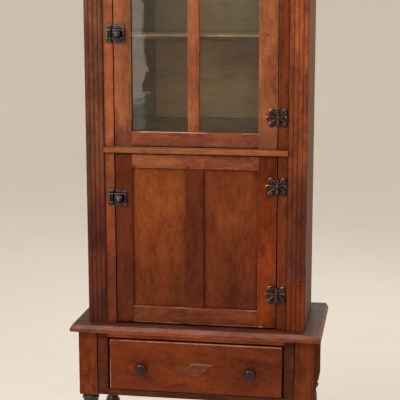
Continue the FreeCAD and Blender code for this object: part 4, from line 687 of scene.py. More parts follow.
def leg_profile():
    """Radius and height, from the foot up to the block, matching the turned leg of the drawing."""
    top = 381.7
    p = [(0.5, 0), (13.5, 0), (15.2, 0.8)]
    p += smooth([(15.2, 0.8), (20.6, 9), (23.4, 22), (21.2, 37), (15.5, 47)], 6)
    p += [(15.5, 47), (19.0, 50)] + smooth([(19, 50), (21.4, 52), (22, 54), (21.4, 56), (19, 58)], 4) + [(19, 58), (15, 62)]
    p += smooth([(15, 62), (17.5, 92), (21.5, 132), (25.5, 172), (27.8, 207), (27.5, 232), (25, 251), (20.5, 264), (16.5, top - 111)], 5)
    p += smooth([(16.5, top - 111), (19.2, top - 103), (21.2, top - 82), (19.8, top - 62), (17.8, top - 51)], 5)
    p += smooth([(17.8, top - 51), (18.6, top - 46), (20.5, top - 42)], 4)
    p += [(22.5, top - 41)] + smooth([(22.5, top - 41), (24.6, top - 38), (25.2, top - 34), (24.6, top - 30), (22.5, top - 27)], 4)
    p += [(20, top - 25.5), (20, top - 23), (23, top - 22)]
    p += smooth([(23, top - 22), (25.6, top - 18.4), (26.4, top - 14), (25.6, top - 9.6), (23, top - 6)], 4)
    p += [(20.5, top - 4.5), (20.5, top - 1.5), (24.5, top - 0.3), (24.5, top + 2)]
    out = [p[0]]
    for q in p[1:]:
        if math.hypot(q[0] - out[-1][0], q[1] - out[-1][1]) > 0.05:
            out.append(q)
    return out


LP = leg_profile()
for ix, sx in enumerate(("left", "right")):
    for iy, sy in enumerate(("front", "rear")):
        cx, cy = sum(PX[ix]) / 2, sum(PYS[iy]) / 2
        name = "leg_%s_%s" % (sy, sx)
        m = Mesh()
        v, f = lathe(LP, (cx, cy, -610), "z", 72, wobble=0.5, seed=11 + ix * 2 + iy)
        m.add(v, f, "z", dirt=crevice(LP, 72, 2.4), edges=False)
        m.build(name + "_turning", C, EBONY, "leg_wood", [name])
        m = Mesh()
        v, f = slab(PX[ix], PYS[iy], (TOPZ, -22.5), r=1.6, s=7, nick=1.3)
        m.add(v, f, "z", tone=-0.03)
        m.build(name + "_block", C, STAND, "leg_wood")


def board(name, node, body, bounds, axis, mat, slot, tone=0.0, butt=False, **kw):
    m = Mesh()
    v, f = slab(*bounds, **kw)
    m.add(v, f, axis, tone=tone(v) if callable(tone) else tone, butt=butt)
    return m.build(name, body, mat, slot, [node] if node else [])


def boards(name, node, body, rows, axis, mat, slot, **kw):
    """Several boards of one CAD node as one object."""
    m = Mesh()
    for b in rows:
        v, f = slab(*b[:3], **kw)
        m.add(v, f, axis, tone=b[3] if len(b) > 3 else 0.0)
    return m.build(name, body, mat, slot, [node] if node else [])


def top_board():
    """The stand's top: a square lower edge and a steep bevel on the front and both sides."""
    X, Y0, Y1 = 381.0, 0.0, 375.0
    prof = [(1.0, -22.5), (0.3, -22.2), (0.0, -21.5), (0.0, -16.0), (0.0, -12.2), (0.35, -11.2), (1.0, -10.2), (3.2, -6.8), (5.4, -3.4),
            (7.0, -1.1), (7.9, -0.35), (9.2, 0.0)]
    nx, ny = 96, 48
    rows = []
    for inset, z in prof:
        x0, x1, y0, y1 = -X + inset, X - inset, Y0 + inset, Y1
        ring = [(x, y0, z) for x in np.linspace(x0, x1, nx + 1)[:-1]]
        ring += [(x1, y, z) for y in np.linspace(y0, y1, ny + 1)[:-1]]
        ring += [(x, y1, z) for x in np.linspace(x1, x0, nx + 1)[:-1]]
        ring += [(x0, y, z) for y in np.linspace(y1, y0, ny + 1)[:-1]]
        rows.append(ring)
    P = np.array(rows, float)
    n, m_ = P.shape[:2]
    v = P.reshape(-1, 3)
    q = []
    for i in range(n - 1):
        for j in range(m_):
            k = (j + 1) % m_
            q.append([i * m_ + j, i * m_ + k, (i + 1) * m_ + k, (i + 1) * m_ + j])
    # the flat: rows of points between the last ring's front and rear edges
    last = (n - 1) * m_
    grid = -np.ones((nx + 1, ny + 1), int)
    for i in range(nx + 1):
        grid[i, 0] = last + i
        grid[i, ny] = last + nx + ny + (nx - i)
    for j in range(ny + 1):
        grid[nx, j] = last + nx + j
        grid[0, j] = last + (2 * nx + ny + (ny - j)) % m_
    extra = []
    inset, z = prof[-1]
    xs, ys = np.linspace(-X + inset, X - inset, nx + 1), np.linspace(Y0 + inset, Y1, ny + 1)
    for i in range(1, nx):
        for j in range(1, ny):
            grid[i, j] = len(v) + len(extra)
            extra.append((xs[i], ys[j], 0.0))
    v = np.vstack([v, np.array(extra)])
    for i in range(nx):
        for j in range(ny):
            q.append([grid[i, j], grid[i + 1, j], grid[i + 1, j + 1], grid[i, j + 1]])
    q.append(list(range(m_))[::-1])
    # dents and rubbed places along the front arrises
    near = np.minimum(np.minimum(v[:, 0] + X, X - v[:, 0]), v[:, 1] - Y0)
    k = np.clip(vnoise(v, 26, 5) * 1.7 - 0.95, 0, 1) * np.clip(1 - near / 11.0, 0, 1)
    low = v[:, 2] < -20
    v[:, 2] -= np.where(low, 0, k * 1.3)
    v[:, 1] += np.where((v[:, 1] < 11) & (v[:, 2] > -21), k * 0.8, 0)
    v[:, 2] -= np.where(low, 0, 0.35 * vnoise(v, 90, 8))
    # the flat is darker than the bevel; darker still close to the case and beside it, partly dirt and partly painted
    # shade where the case shades the top
    gap = np.maximum(np.abs(v[:, 0]) - 330.0, 40.4 - v[:, 1])
    dirt = (v[:, 2] > -0.7) * (0.66 + 0.30 * np.exp(-np.maximum(gap, 0) / 6.0) + 0.22 * (np.abs(v[:, 0]) > 330))
    m = Mesh().add(v, q, "x", dirt=dirt)
    return m.build("base_top_board_worn", C, TOPB, "top_board_wood", ["base_top_board"], sharp=50)


top_board()
board("base_front_rail_upper_worn", "base_front_rails", C, ((-268.5, 270.6), (25, 65), (-41.5, -22.5)), "x", STAND_UP_LIT, "stand_wood", nick=1.4)
board("base_front_rail_lower_worn", None, C, ((-301, 302.2), (25, 65), (-226, -206)), "x", STAND_RAIL, "stand_wood", nick=1.4)
boards("base_front_rail_ends_worn", None, C, [
    ((-300.6, -268.5), (26, 65), (-41.2, -22.5), 0.02), ((270.6, 300.8), (26, 65), (-41.2, -22.5), -0.04)], "z", STAND_DARK, "stand_wood", nick=1.0)
def fillers():
    """The upright pieces beside the drawer, parted from the posts by a dark open joint that is wider at the top."""
    m = Mesh()
    for x0, x1, z0, z1, tone, lean in ((-303, -268.5, -120, -41.5, 0.02, (-300.4, -300.8)), (-303, -268.5, -206, -120.6, -0.03, (-300.8, -301.2)),
                                       (270.6, 303, -120, -41.5, -0.04, (300.4, 302.2)), (270.6, 303, -206, -120.6, 0.0, (302.2, 302.6))):
        v, f = slab((x0, x1), (26, 48), (z0, z1))
        k = np.clip((z1 - v[:, 2]) / (z1 - z0), 0, 1)
        edge = lean[0] + (lean[1] - lean[0]) * k
        if x0 < 0:
            v[:, 0] = x1 - (x1 - v[:, 0]) * (x1 - edge) / (x1 - x0)
        else:
            v[:, 0] = x0 + (v[:, 0] - x0) * (edge - x0) / (x1 - x0)
        m.add(v, f, "z", tone=tone)
    m.build("base_filler_stiles_worn", C, STAND_DARK, "stand_wood", ["base_filler_stiles"])


fillers()
boards("base_side_aprons_worn", "base_side_aprons", C, [
    ((-357, -339), (80, 301), (-226, -22.5)), ((339, 357), (80, 301), (-226, -22.5))], "y", STAND, "stand_wood")
board("base_back_apron_worn", "base_back_apron", C, ((-303, 303), (337, 355), (-226, -22.5)), "x", BACKW, "stand_wood")
boards("drawer_runners_worn", "drawer_runners", C, [
    ((-303, -228.7), (65, 337), (-226, -206)), ((-303, -262.7), (65, 337), (-206, -188)),
    ((231.2, 303), (65, 337), (-226, -206)), ((265.2, 303), (65, 337), (-206, -188))], "y", PLAIN, "plain_wood", s=16)
boards("drawer_kickers_worn", "drawer_kickers", C, [
    ((-303, -228.7), (65, 337), (-46.5, -22.5)), ((231.2, 303), (65, 337), (-46.5, -22.5))], "y", PLAIN, "plain_wood", s=16)

# ------------------------------------------------------------------ the drawer
m = Mesh()
v, f = slab((-262.5, 265), (20, 42), (-204.4, -46), r=3.6, s=7, nick=1.2, wave=0.4)
m.add(v, f, "x", tone=-0.12 * v[:, 0] / 265.0)
# the drawer front's pale edge band is left off the right edge and the bottom and widened along the top, so it paints
# the highlight of light catching the top and left edges as well as wear
m.lo[0], m.hi[0] = m.lo[0].copy(), m.hi[0].copy()
m.hi[0][:, 0] += 2.2
m.lo[0][:, 2] += 2.6
m.hi[0][:, 2] = np.maximum(m.hi[0][:, 2] - 0.8, 0)
m.build("drawer_front_worn", "drawer", DRAWER, "stand_wood", ["drawer_front"])
boards("drawer_sides_worn", "drawer_sides", "drawer", [
    ((-261, -249), (42, 330), (-205.7, -54)), ((251.5, 263.5), (42, 330), (-205.7, -54))], "y", PLAIN, "plain_wood")
board("drawer_back_worn", "drawer_back", "drawer", ((-249, 251.5), (308, 318), (-189.4, -54)), "x", PLAIN, "plain_wood")
board("drawer_bottom_worn", "drawer_bottom", "drawer", ((-249, 251.5), (42, 330), (-195.4, -189.4)), "x", PLAIN, "plain_wood", r=0.6)


def lozenge():
    pts = np.array([(-52.5, -145.5), (17.5, -148.2), (58.5, -110.7), (-7.5, -109.5)])
    c = pts.mean(0)
    outline = []
    for i in range(4):
        a, b = pts[i], pts[(i + 1) % 4]
        for t in np.linspace(0, 1, 14, endpoint=False):
            outline.append(a + (b - a) * t)
    outline = np.array(outline)
    w = vnoise(np.column_stack([outline, np.zeros(len(outline))]), 6, 4)
    edge = outline + (c - outline) / np.linalg.norm(c - outline, axis=1, keepdims=True) * (np.clip(w * 2.6 - 1.5, 0, 2) * (outline[:, 0] < 20))[:, None]
    layers = []
    for inset, y in ((0.0, 20.6), (0.0, 17.9), (0.5, 17.2), (1.9, 16.3), (3.2, 16.05)):
        d = (c - edge) / np.linalg.norm(c - edge, axis=1, keepdims=True)
        q = edge + d * inset * 1.4
        layers.append(np.column_stack([q[:, 0], np.full(len(q), y), q[:, 1]]))
    m_ = len(outline)
    v = np.vstack(layers + [np.array([[c[0], 16.0, c[1]]])])
    f = []
    for i in range(len(layers) - 1):
        for j in range(m_):
            k = (j + 1) % m_
            f.append([i * m_ + j, i * m_ + k, (i + 1) * m_ + k, (i + 1) * m_ + j])
    top = (len(layers) - 1) * m_
    for j in range(m_):
        f.append([top + j, top + (j + 1) % m_, len(v) - 1])
    f.append(list(range(m_))[::-1])
    Mesh().add(v, f, "x", tone=0.02).build("drawer_lozenge_worn", "drawer", LOZ, "lozenge_wood", ["drawer_lozenge"], sharp=30)


lozenge()
KP = [(6.5, 21), (11, 20), (10.6, 17.2), (9.4, 14.2), (9.6, 11.4), (10.5, 9.6), (13.6, 8.0), (16.6, 6.6), (18.4, 3.8), (18.9, 0.5),
      (18.2, -2.8), (16.8, -5.2), (14.8, -7.1), (12.6, -8.4), (11.9, -8.6), (11.2, -8.9), (9.0, -9.8), (6.4, -10.5), (3.2, -10.9), (0.4, -11)]
KP = smooth(KP[:2], 1)[:-1] + smooth(KP[1:], 4)
m = Mesh()
for kx in (-161, 171):
    v, f = lathe([(r_, y_) for r_, y_ in KP], (kx, 0, -130.5), "y", 72, wobble=0.35, seed=int(abs(kx)))
    m.add(v, f, "y", dirt=crevice(KP, 72, 3.0) * 0.8 * (v[:, 1] > 6), edges=False, pith=6)
m.build("drawer_knobs_turned", "drawer", KNOBW, "stand_wood", ["drawer_knobs"], sharp=60)

# ------------------------------------------------------------------ the upper case
boards("case_side_left_worn", "case_side_left", C, [((-330, -312), (62.4, 308), (0, 1318))], "z", SIDE, "case_wood", s=14)
boards("case_side_right_worn", "case_side_right", C, [((312, 330), (62.4, 308), (0, 1318))], "z", SIDE, "case_wood", s=14)
seams = [0, 188, 392, 605, 848, 1082, 1318]
tones = [float(rng.uniform(-0.08, 0.08)) for i in range(6)]
rows = [((-318, 318), (296, 308), (seams[i] + (0.6 if i else 0), seams[i + 1] - 0.5), tones[i]) for i in range(6)]
closers = [((-317, 317), (300, 307.5), (z_ - 5, z_ + 5), -0.3) for z_ in seams[1:-1]]
boards("case_back_boards_worn", "case_back_boards", C, rows[:2] + rows[3:4] + closers, "x", INNER, "inner_painted_wood", s=16, r=1.4)
boards("case_back_boards_low_worn", None, C, rows[2:3], "x", INNER_LOW, "inner_painted_wood", s=16, r=1.4)
boards("case_back_boards_top_worn", None, C, rows[4:], "x", INNER_TOP, "inner_painted_wood", s=16, r=1.4)
board("case_bottom_board_worn", "case_bottom_board", C, ((-312, 312), (69.5, 296), (0, 20)), "x", INNER, "inner_painted_wood", s=14)
boards("case_middle_shelf_worn", "case_middle_shelf", C, [
    ((-312, 312), (69.5, 296), (523, 543)), ((-245, 245), (46.5, 69.4), (523, 543))], "x", INNER_LOW, "inner_painted_wood", s=14)
boards("case_shelves_worn", "case_shelves", C, [
    ((-312, 312), (91.5, 296), (857, 871.3), 0.0), ((-312, 312), (90, 296), (256, 271), 0.0)], "x", SHELF, "inner_painted_wood", s=14, r=1.2)
# the shelf's front edge: a pale nosing, partly worn and partly a painted highlight where light catches the top arris,
# over a dark strip that is painted shade
boards("case_shelf_nosing_worn_and_lit", None, C, [((-312, 312), (90, 93.4), (866.2, 871.5), 0.0)], "x", SHELF_EDGE, "inner_painted_wood", s=7, r=1.3,
       nick=1.6)
boards("case_shelf_edge_shade", None, C, [((-312, 312), (90.4, 92.4), (857, 866.0), 0.0)], "x", SHELF_EDGE_SHADE, "inner_painted_wood", s=14, r=0.5)
board("case_top_board_worn", "case_top_board", C, ((-329.8, 329.8), (40.6, 308), (1318, 1338)), "x", BACKW, "case_wood", s=14)


def pilaster(name, node, x0, z0, z1, mat, slot, tone=0.0, seed=1):
    """Four rounded reeds, rubbed flatter in places."""
    W, T_, D_ = 55.0, 22.0, 2.4
    pts, crest = [], []
    w = W / 4
    for i in range(4):
        for k in range(9):
            t = k / 8.0
            if i and k == 0:
                continue
            h = D_ * (1 - math.sin(math.pi * t) ** 0.62)
            a = (i + t) * w
            if i == 0 and k == 0:
                a, h = 0.0, D_ + 0.2
            if i == 3 and k == 8:
                a, h = W, D_ + 0.2
            pts.append((x0 + a, 40.4 + h))
            crest.append(h / D_)
    pts += [(x0 + W, 62.2), (x0 + W - 0.2, 62.4), (x0 + 0.2, 62.4), (x0, 62.2)]
    crest += [0, 0, 0, 0]
    v, f = profile_run(pts, "z", z0, z1, s=9, wave=0.0)
    front = v[:, 1] < 44
    k = np.clip(vnoise(v, 34, seed) * 1.4 - 0.6, 0, 1) * 0.5 + np.clip(vnoise(v, 9, seed + 1) * 1.8 - 1.15, 0, 1) * 0.8
    v[:, 1] += np.where(front, k * 0.9, 0)
    n = len(v) // len(pts)
    dirt = np.tile(np.clip(np.array(crest) * 1.3 - 0.45, 0, 1), n)
    m = Mesh().add(v, f, "z", tone=tone, dirt=dirt)
    return m.build(name, C, mat, slot, [node], sharp=45)


pilaster("pilaster_left_worn", "pilaster_left", -330.0, 0, 1318, CASE_L, "case_wood", 0.0, 21)
pilaster("pilaster_right_worn", "pilaster_right", 275.0, 146.5, 1318, CASE, "case_wood", 0.0, 31)
pilaster("pilaster_right_repair_worn", "pilaster_right_repair", 275.0, 0, 146, REPAIR, "light_case_wood", 0.0, 41)
for name, x0, x1, mat, slot in (("face_stile_left", -275, -245, LIGHT, "light_case_wood"), ("face_stile_right", 245, 275, STILE_R, "case_wood")):
    m = Mesh()
    v, f = slab((x0, x1), (46.5, 66.5), (0, 1318), s=5)
    # painted shadow: the outer edge of each face stile darkens towards the pilaster, standing in for the pilaster's
    # shadow
    m.add(v, f, "z", dirt=np.clip(1 - (275 - np.abs(v[:, 0])) / 5.5, 0, 1) * 0.95)
    m.build(name + "_worn", C, mat, slot, [name])
board("face_rail_top_worn", "face_rail_top", C, ((-245, 245), (46.5, 66.5), (1236, 1318)), "x", CASE, "case_wood")


def strip():
    """The projecting strip between the doors, its front edge rounded."""
    sec = [(46.5, 525.7), (38.2, 525.5)] + arc(38.4, 529.5, 4.0, -90, -180, 6) + arc(38.4, 537.3, 4.0, 180, 90, 6) + [(46.5, 541.3)]
    v, f = profile_run(sec, "x", -275, 275, s=9, wave=0.0)
    k = np.clip(vnoise(v, 21, 77) * 1.6 - 0.85, 0, 1)
    v[:, 1] += np.where(v[:, 1] < 44, k * 1.2, 0)
    # painted shade: the rounded top of the strip darkens at the back, where it lies in shadow under the door
    Mesh().add(v, f, "x", dirt=np.clip((v[:, 1] - 36.5) / 3.0, 0, 1) * (v[:, 2] > 539.5) * 1.1).build("middle_strip_worn", C, STRIP, "light_case_wood", ["middle_strip"], sharp=45)


strip()


def cornice():
    """A cove between two fillets, mitred at the front corners."""
    prof = [(0, 0), (3.6, 0), (4, 0.4)] + smooth([(4, 6), (6.6, 18), (12.6, 30), (21, 38.4), (32, 44)], 6)
    prof += [(37.6, 44), (38, 44.4), (38, 59.6), (37.6, 60), (0, 60)]
    p = np.array(prof)
    reach, h = p[:, 0], p[:, 1] + 1278
    sec = np.column_stack([40.4 - reach, h])
    v, f = profile_run(sec, "x", -330, 330, s=14, wave=0.1, shear=(-reach, reach))
    m = Mesh().add(v, f, "x")
    m.build("cornice_front_worn", C, CASE, "case_wood", ["cornice_front"], sharp=35)
    m = Mesh()
    for side in (-1, 1):
        sec = np.column_stack([side * (330 + reach), h])
        v, f = profile_run(sec, "y", 40.4, 308, s=14, wave=0.1, shear=(-reach, np.zeros(len(reach))))
        m.add(v, f, "y")
    m.build("cornice_returns_worn", C, CASE, "case_wood", ["cornice_returns"], sharp=35)


cornice()

# ------------------------------------------------------------------ the upper door
U = "upper_door"
YF, YB = 46.5, 68.5
REB = 56.5


def rebated(name, node, axis, lo, hi, a0, a1, side, mat, slot, tone=0.0, body=U, ends=0.0, seed=9, shaded_bottom_edge=False):
    """A door member with a rebate at the back of one edge (side -1 or 1) or both (0)."""
    r = 1.6
    front = [(a0 + r, YF), (a0 + 0.45, YF + 0.45), (a0, YF + r)]
    if side in (-1, 0):
        left = [(a0, REB), (a0 + 8, REB), (a0 + 8, YB)]
    else:
        left = [(a0, YB - 0.5), (a0 + 0.5, YB)]
    if side in (1, 0):
        right = [(a1 - 8, YB), (a1 - 8, REB), (a1, REB)]
    else:
        right = [(a1 - 0.5, YB), (a1, YB - 0.5)]
    back = [(a1, YF + r), (a1 - 0.45, YF + 0.45), (a1 - r, YF)]
    n = max(2, int((a1 - a0) / 7))
    face = [(a1 - r - (a1 - a0 - 2 * r) * k / n, YF) for k in range(1, n)]
    sec = front + left + right + back + face
    if axis == "x":
        sec = [(y, a) for a, y in sec]
    v, f = profile_run(sec, axis, lo, hi, s=9, wave=0.0)
    near = v[:, 0 if axis == "z" else 2]
    e = np.minimum(near - a0, a1 - near)
    k = np.clip(vnoise(v, 17, seed) * 1.6 - 0.8, 0, 1)
    v[:, 1] += np.where(v[:, 1] < YF + 1.5, 0.15 * vnoise(v, 60, seed + 2) + k * 1.0 * np.clip(1 - e / 2.5, 0, 1), 0)
    # painted shade: the lowest 1.2 mm of a member with a shaded bottom edge darkens, for the shadow in the gap above
    # the middle strip, and that edge keeps no wear
    low = (near < a0 + 1.2) * 0.9 if shaded_bottom_edge else None
    m = Mesh().add(v, f, axis, tone=tone, butt=axis == "x" or name.endswith("bar_worn"), dirt=low)
    if shaded_bottom_edge:
        m.lo[0] = m.lo[0].copy()
        m.lo[0][:, 2] = 500.0
    return m.build(name, body, mat, slot, [node], sharp=45)


rebated("upper_door_stile_left_worn", "upper_door_stile_left", "z", 545, 1232, -241.8, -190.8, 1, DOOR, "door_wood", 0.0, seed=51)
rebated("upper_door_stile_right_worn", "upper_door_stile_right", "z", 545, 1232, 186.5, 242.0, -1, DOOR, "door_wood", 0.02, seed=52)
rebated("upper_door_glazing_bar_worn", "upper_door_glazing_bar", "z", 589, 1172, -22, 12, 0, DOOR, "door_wood", 0.04, seed=53)
rebated("upper_door_rail_bottom_worn", "upper_door_rail_bottom", "x", -190.8, 186.5, 545, 589, 1, RAIL_U, "door_wood", 0.0, seed=54, shaded_bottom_edge=True)
rebated("upper_door_rail_top_worn", "upper_door_rail_top", "x", -190.8, 186.5, 1172, 1232, -1, DOOR, "door_wood", 0.0, seed=55)
m = Mesh()
for x0, x1 in ((-197.8, -15), (5, 193.5)):
    v, f = slab((x0, x1), (56.6, 59.4), (582, 1179), r=0.5, s=20, wave=0.0, nick=0.0)
    m.add(v, f, "z")
m.build("upper_door_glass_old", U, GLASS, "old_glass", ["upper_door_glass"])
rows = []
for x0, x1 in ((-198.8, -14), (4, 194.5)):
    rows += [((x0, x1), (59.5, 67), (581, 588)), ((x0, x1), (59.5, 67), (1173, 1180)),
             ((x0, x0 + 7), (59.5, 67), (588, 1173)), ((x1 - 7, x1), (59.5, 67), (588, 1173))]
boards("upper_door_beads_worn", "upper_door_glazing_beads", U, rows, "z", DOOR_DARK, "door_wood", r=1.6)

# ------------------------------------------------------------------ the lower door
L = "lower_door"
Y = (46.5, 68.5)
board("lower_door_stile_left_worn", "lower_door_stile_left", L, ((-241.8, -190.8), Y, (5, 520.6)), "z", DOOR_DARK, "door_wood", tone=0.0,
      nick=1.2, s=7)
board("lower_door_stile_right_worn", "lower_door_stile_right", L, ((186.5, 242.0), Y, (5, 520.6)), "z", STILE_LR, "door_wood", nick=1.2, s=7,
      tone=lambda v: -0.34 * np.clip((v[:, 2] - 425) / 40, 0, 1))
board("lower_door_rail_bottom_worn", "lower_door_rail_bottom", L, ((-190.8, 186.5), Y, (5, 56)), "x", RAIL_B, "door_wood", tone=0.0, butt=True,
      nick=1.2, s=7)
board("lower_door_rail_top_worn", "lower_door_rail_top", L, ((-190.8, 186.5), Y, (480.5, 520.6)), "x", RAIL_L, "door_wood", tone=0.0, butt=True,
      nick=1.2, s=7)
board("lower_door_mullion_worn", "lower_door_mullion", L, ((-29.8, 24.6), Y, (56, 480.5)), "z", DOOR_DARK, "door_wood", tone=-0.02, butt=True,
      nick=1.2, s=7)
board("lower_door_panel_left_worn", "lower_door_panels", L, ((-197.8, -22.8), (54.5, 63.5), (49, 487.5)), "z", PANEL, "panel_wood", wave=0.5, s=8,
      tone=lambda v: 0.14 * np.clip((-170 - v[:, 0]) / 10, 0, 1))
board("lower_door_panel_right_worn", None, L, ((17.6, 193.5), (54.5, 63.5), (49, 487.5)), "z", PANEL_R, "panel_wood", wave=0.5, s=8)

# ------------------------------------------------------------------ butterfly hinges
WOODY = 46.5
HX, HY, HL = 243.5, 41.2, 43.0
HINGES = {"a": 636.0, "b": 1141.0, "c": 433.5, "d": 107.8}
PETALS = {1: ((44, 36.0, 9.0), (0, 30.9, 7.7), (-44, 36.0, 9.0)), -1: ((46, 35.6, 9.2), (0, 35.6, 7.9), (-46, 35.6, 9.2))}
KNUCKLES = ((-21.5, -8.3), (-7.9, 7.9), (8.3, 21.5))
COPPER = {  # how coppery each petal's rim is: door side from the top, then frame side from the top
    "a": (0.9, 0.95, 0.35, 0.15, 0.3, 0.45), "b": (0.5, 0.8, 0.3, 0.4, 0.3, 0.3), "c": (0.7, 0.9, 0.15, 1.0, 0.25, 0.3),
    "d": (0.9, 0.6, 0.2, 0.6, 0.25, 0.2)}


def petal(side, ang, reach, r, cx, cz, seed):
    """A spoon-shaped petal of a cast leaf: a rounded rim about a dish, narrowing to a ridged neck at the barrel."""
    a = math.radians(ang)
    ux, uz = side * math.cos(a), math.sin(a)
    px, pz = -uz, ux
    cs = reach - r
    st = np.concatenate([np.linspace(3.0, cs, 30), cs + r * np.sin(np.radians(np.linspace(0, 90, 20)))[1:]])
    K = 25
    rings, highs = [], []
    for s_ in st:
        line = 3.2 + (0.99 * r - 3.2) * min(1.0, max(0.0, (s_ - 2) / (cs - 2))) ** 0.85
        disc = math.sqrt(max(r * r - (s_ - cs) ** 2, 0.0)) if abs(s_ - cs) < r else 0.0
        w = max(line if s_ < cs else 0.0, disc, 0.12)
        t = w * np.sin(np.radians(np.linspace(-90, 90, K)))
        d = r - np.hypot(s_ - cs, t)
        if s_ < cs:
            d = np.maximum(d, (line - np.abs(t)) * 0.97)
        d = np.maximum(d, 0)
        crest = min(2.5, 0.42 * max(w, 2.6))
        h = np.where(d < crest, 0.8 + 3.3 * np.sin(np.pi / 2 * np.minimum(d / crest, 1)) ** 0.8,
                     np.where(d < crest + 2.6, 4.1 - 2.5 * (0.5 - 0.5 * np.cos(np.pi * np.clip((d - crest) / 2.6, 0, 1))), 1.6))
        if s_ < cs:
            # the neck is a low ridge with a furrow down it
            h = h - 0.5 * np.exp(-(t / 0.8) ** 2) * min(1.0, (cs - s_) / 6.0)
        h = h + 1.2 * max(0.0, min(1.0, (8.5 - s_) / 5.0))
        pts = np.column_stack([s_ * ux + t * px, h, s_ * uz + t * pz])
        # painted highlight: brightest where the rim faces up and to the left, towards the light
        away = np.column_stack([pts[:, 0] - cs * ux, pts[:, 2] - cs * uz])
        away = away / np.maximum(np.linalg.norm(away, axis=1, keepdims=True), 1e-3)
        lit = np.clip((away @ np.array([-0.70, 0.71]) - 0.15) / 0.6, 0.0, 1.0)
        lit = np.maximum(lit, 0.07) if s_ >= cs - 2 else 0.10 + 0.30 * (pts[:, 2] > s_ * uz + 0.2)
        hi_ = np.exp(-((d - crest * 0.92) / (1.5 if side < 0 else 1.15)) ** 2) * lit
        low = np.array([[s_ * ux + w * px, 0.05, s_ * uz + w * pz], [s_ * ux, 0.05, s_ * uz], [s_ * ux - w * px, 0.05, s_ * uz - w * pz]])
        rings.append(np.vstack([pts, low]))
        highs.append(np.concatenate([hi_, [0, 0, 0]]))
    m_ = K + 3
    P = np.vstack(rings)
    n = len(rings)
    noise = vnoise(P + 50, 2.6, seed) - 0.5
    H = np.maximum(P[:, 1] + np.where(P[:, 1] > 0.5, noise * 0.28, 0), 0.05)
    v = np.column_stack([P[:, 0] + cx, WOODY - H, P[:, 2] + cz])
    f = []
    for i in range(n - 1):
        for j in range(m_):
            k = (j + 1) % m_
            q = [i * m_ + j, (i + 1) * m_ + j, (i + 1) * m_ + k, i * m_ + k]
            f.append(q if side > 0 else q[::-1])
    a0, b0 = list(range(m_)), list(range((n - 1) * m_, n * m_))
    f.append(a0 if side > 0 else a0[::-1])
    f.append(b0[::-1] if side > 0 else b0)
    return v, f, np.concatenate(highs)


def knuckle(z0, z1):
    R = 5.1
    return [(3.0, z0), (R - 0.7, z0), (R - 0.15, z0 + 0.35), (R, z0 + 1.0), (R, z0 + 1.6), (R - 0.3, z0 + 2.0), (R - 0.12, z0 + 2.5),
            (R - 0.12, z1 - 2.5), (R - 0.3, z1 - 2.0), (R, z1 - 1.6), (R, z1 - 1.0), (R - 0.15, z1 - 0.35), (R - 0.7, z1), (3.0, z1)]


def leaves(name, node, body, side, keys, which):
    m = Mesh()
    for key in keys:
        cz = HINGES[key]
        for i, (ang, reach, r) in enumerate(PETALS[side]):
            v, f, hi_ = petal(side, ang, reach, r, HX, cz, 60 + i + 7 * ord(key) + (40 if side > 0 else 0))
            m.add(v, f, "x", tone=COPPER[key][i + (3 if side > 0 else 0)], edges=False, high=hi_)
        for k in which:
            z0, z1 = KNUCKLES[k]
            v, f = lathe(knuckle(z0, z1), (HX, HY, cz), "z", 40, wobble=0.12, seed=5 + k)
            m.add(v, f, "z", tone=0.1, edges=False, high=np.full(len(v), 0.18))
            x = (HX, HX + 12) if side > 0 else (HX - 12, HX)
            v, f = slab(x, (WOODY - 2.2, WOODY - 0.05), (cz + z0, cz + z1), r=0.5, s=3, wave=0.1, nick=0.1)
            m.add(v, f, "x", edges=False)
    return m.build(name, body, IRON_H, "hinge_iron", [node], sharp=70)


leaves("hinge_frame_leaves_cast", "hinge_frame_leaves", C, 1, "abcd", (0, 2))
leaves("upper_door_hinge_leaves_cast", "upper_door_hinge_leaves", U, -1, "ab", (1,))
leaves("lower_door_hinge_leaves_cast", "lower_door_hinge_leaves", L, -1, "cd", (1,))

# ------------------------------------------------------------------ latches
LATX = -228.5
LX0, LX1, BOXH = -14.5, 20.5, 14.6
LATZ = {"upper": (874.0, 56.0), "lower": (389.0, 49.0)}


def put_slab(m, x, y, z, cz, r=0.7, s=2.2, nick=0.25, high=0.0, tone=0.0):
    """A rounded block of a casting, given from the latch's own centre."""
    v, f = slab([LATX + k for k in x], [WOODY + k for k in y], [cz + k for k in z], r=r, s=s, wave=0.08, nick=nick)
    lo_, hi_ = v.min(0), v.max(0)
    near = np.sort(np.minimum(v - lo_, hi_ - v), axis=1)[:, 1]
    m.add(v, f, "x", edges=False, tone=tone, high=np.clip(1 - near / 0.9, 0, 1) * 0.55 + high)


